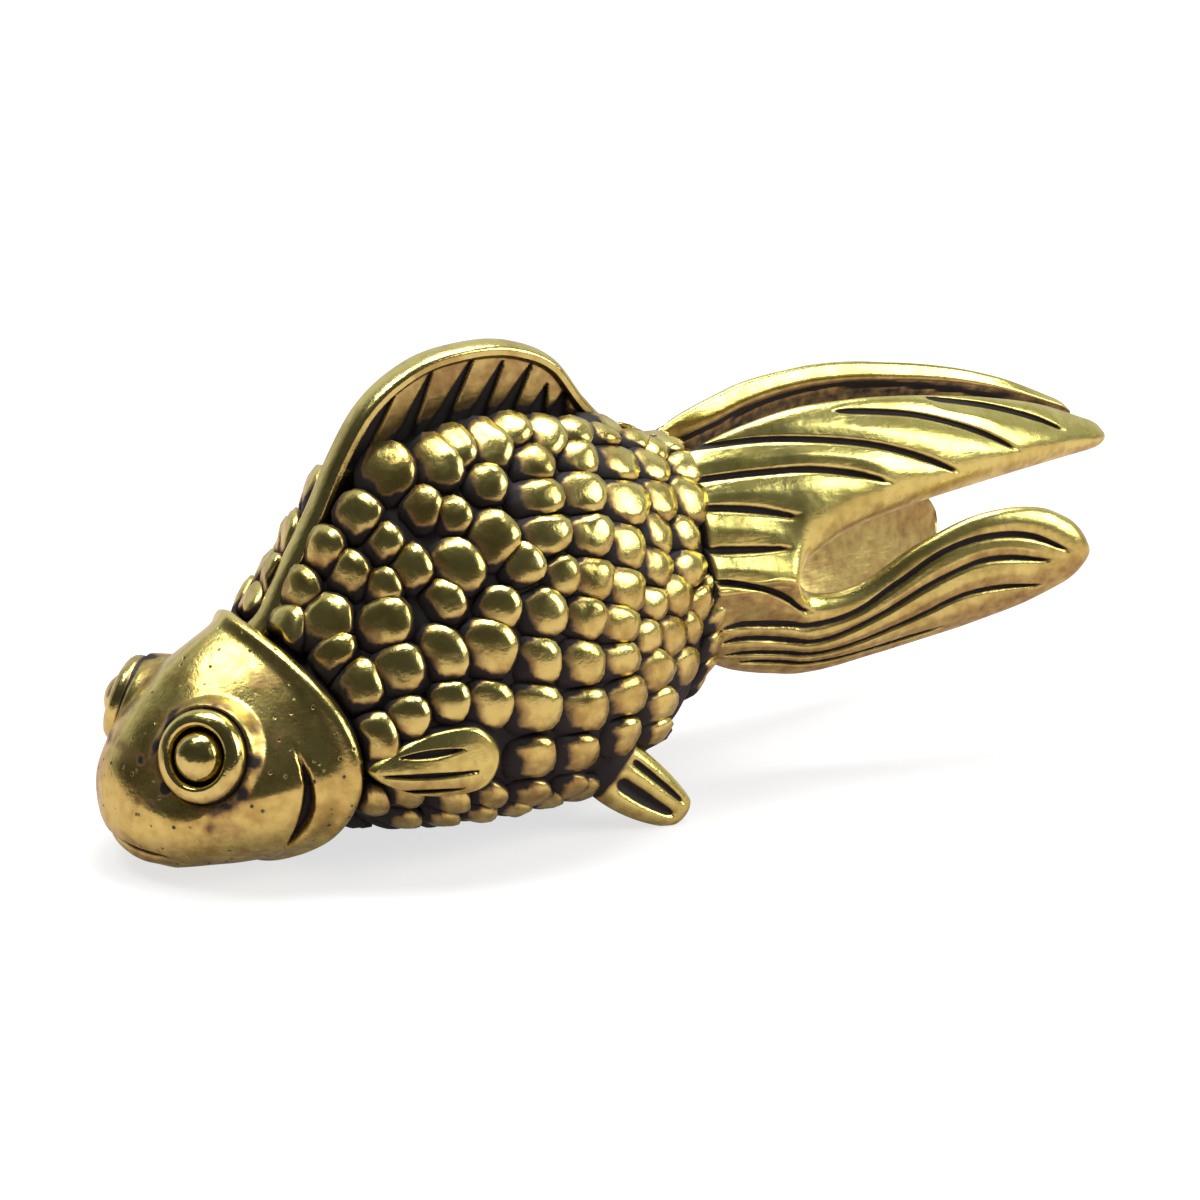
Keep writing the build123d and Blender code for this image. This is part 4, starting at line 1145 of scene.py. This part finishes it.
for side, flank in ((-1, "left"), (1, "right")):
    paddle = rolled(f"pectoral_{flank}_paddle", 70, 120, partial(paddle_place, side))
    foot = rolled(f"pelvic_{flank}_foot", 80, 90, partial(foot_place, side))
    for piece, node in ((paddle, "pectoral_fin_" + flank), (foot, "pelvic_fin_" + flank)):
        piece.data.materials.append(tail_brass)
        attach(piece, "root")
        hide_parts(node)


# Studio: the ornament stands on a white table in front of a white backdrop. A soft lamp hangs overhead,
# a smaller and weaker one on the left, and a broad one stands low in front on the right. The room behind
# the camera is dark. The table mirrors in the brass a little darker and redder than it is.
table_size = 3.0
table_white = (0.80, 0.78, 0.76, 1)
table_in_brass = (0.58, 0.44, 0.43, 1)
table_glow = 1.4
# How much of the table's glow the camera and a reflection see, and how bright the backdrop and the rest
# of the room are in reflections
seen_glow, mirrored_glow = 0.5, 0.1
backdrop_light, room_light = 0.6, 0.05
backdrop_reach = (0.1, 0.7)
view_ahead = (0.469, 0.883)
lamp_target = Vector((0, 0, 0.01))
# Place, size and power of each lamp
softboxes = {
    "overhead_softbox": ((0.05, 0.05, 0.32), 0.16, 0.80),
    "left_softbox": ((-0.12, 0.06, 0.30), 0.11, 0.35),
    "right_softbox": ((0.23, -0.21, 0.20), 0.24, 0.85),
}
camera_place = (-0.07699, -0.14254, 0.06134)
camera_tilt, camera_turn = 71.7, -28
camera_lens = 120

table_mesh = bmesh.new()
bmesh.ops.create_grid(table_mesh, x_segments=1, y_segments=1, size=table_size / 2)
table = finished("table_top", table_mesh)
cover = Finish(bpy.data.materials.new("white_table"))
seen, mirrored, through = [
    cover.node("ShaderNodeLightPath", {}, {}, kind)
    for kind in ("Is Camera Ray", "Is Glossy Ray", "Is Transmission Ray")]
pale = cover.node("ShaderNodeBsdfDiffuse", {}, {"Color": table_white})
reddish = cover.node("ShaderNodeBsdfDiffuse", {}, {"Color": table_in_brass})
lit = cover.node("ShaderNodeMixShader", {}, {0: mirrored, 1: pale, 2: reddish})
white = cover.node("ShaderNodeEmission", {}, {"Color": (1, 1, 1, 1), "Strength": table_glow})
glow = seen * seen_glow + mirrored * mirrored_glow + through * seen_glow
surface = cover.node("ShaderNodeMixShader", {}, {0: glow, 1: lit, 2: white})
cover.node("ShaderNodeOutputMaterial", {}, {"Surface": surface})
table.data.materials.append(cover.owner)

room = Finish(bpy.data.worlds.new("studio"))
bpy.context.scene.world = room.owner
way = room.node("ShaderNodeTexCoord", {}, {}, "Generated")
way_x, way_y = [room.node("ShaderNodeSeparateXYZ", {}, {0: way}, axis) for axis in ("X", "Y")]
ahead = way_x * view_ahead[0] + way_y * view_ahead[1]
camera_ray = room.node("ShaderNodeLightPath", {}, {}, "Is Camera Ray")
backdrop = room.step(ahead, *backdrop_reach) * backdrop_light
bright = camera_ray + (1 - camera_ray) * (backdrop + room_light)
sky = room.node("ShaderNodeBackground", {}, {"Color": (1, 1, 1, 1), "Strength": bright})
room.node("ShaderNodeOutputWorld", {}, {"Surface": sky})


def softbox(name, place, size, power):
    """A square lamp aimed at the ornament."""
    lamp = bpy.data.lights.new(name, "AREA")
    lamp.size = size
    lamp.energy = power
    holder = bpy.data.objects.new(name, lamp)
    holder.location = place
    holder.rotation_euler = (lamp_target - holder.location).to_track_quat("-Z", "Y").to_euler()
    bpy.context.scene.collection.objects.link(holder)


for name, (place, size, power) in softboxes.items():
    softbox(name, place, size, power)

camera = bpy.data.cameras.new("camera")
camera.lens = camera_lens
camera.clip_start = 0.01
viewer = bpy.data.objects.new("camera", camera)
viewer.location = camera_place
viewer.rotation_euler = (radians(camera_tilt), 0, radians(camera_turn))
bpy.context.scene.collection.objects.link(viewer)
bpy.context.scene.camera = viewer
bpy.context.scene.view_settings.view_transform = "Standard"
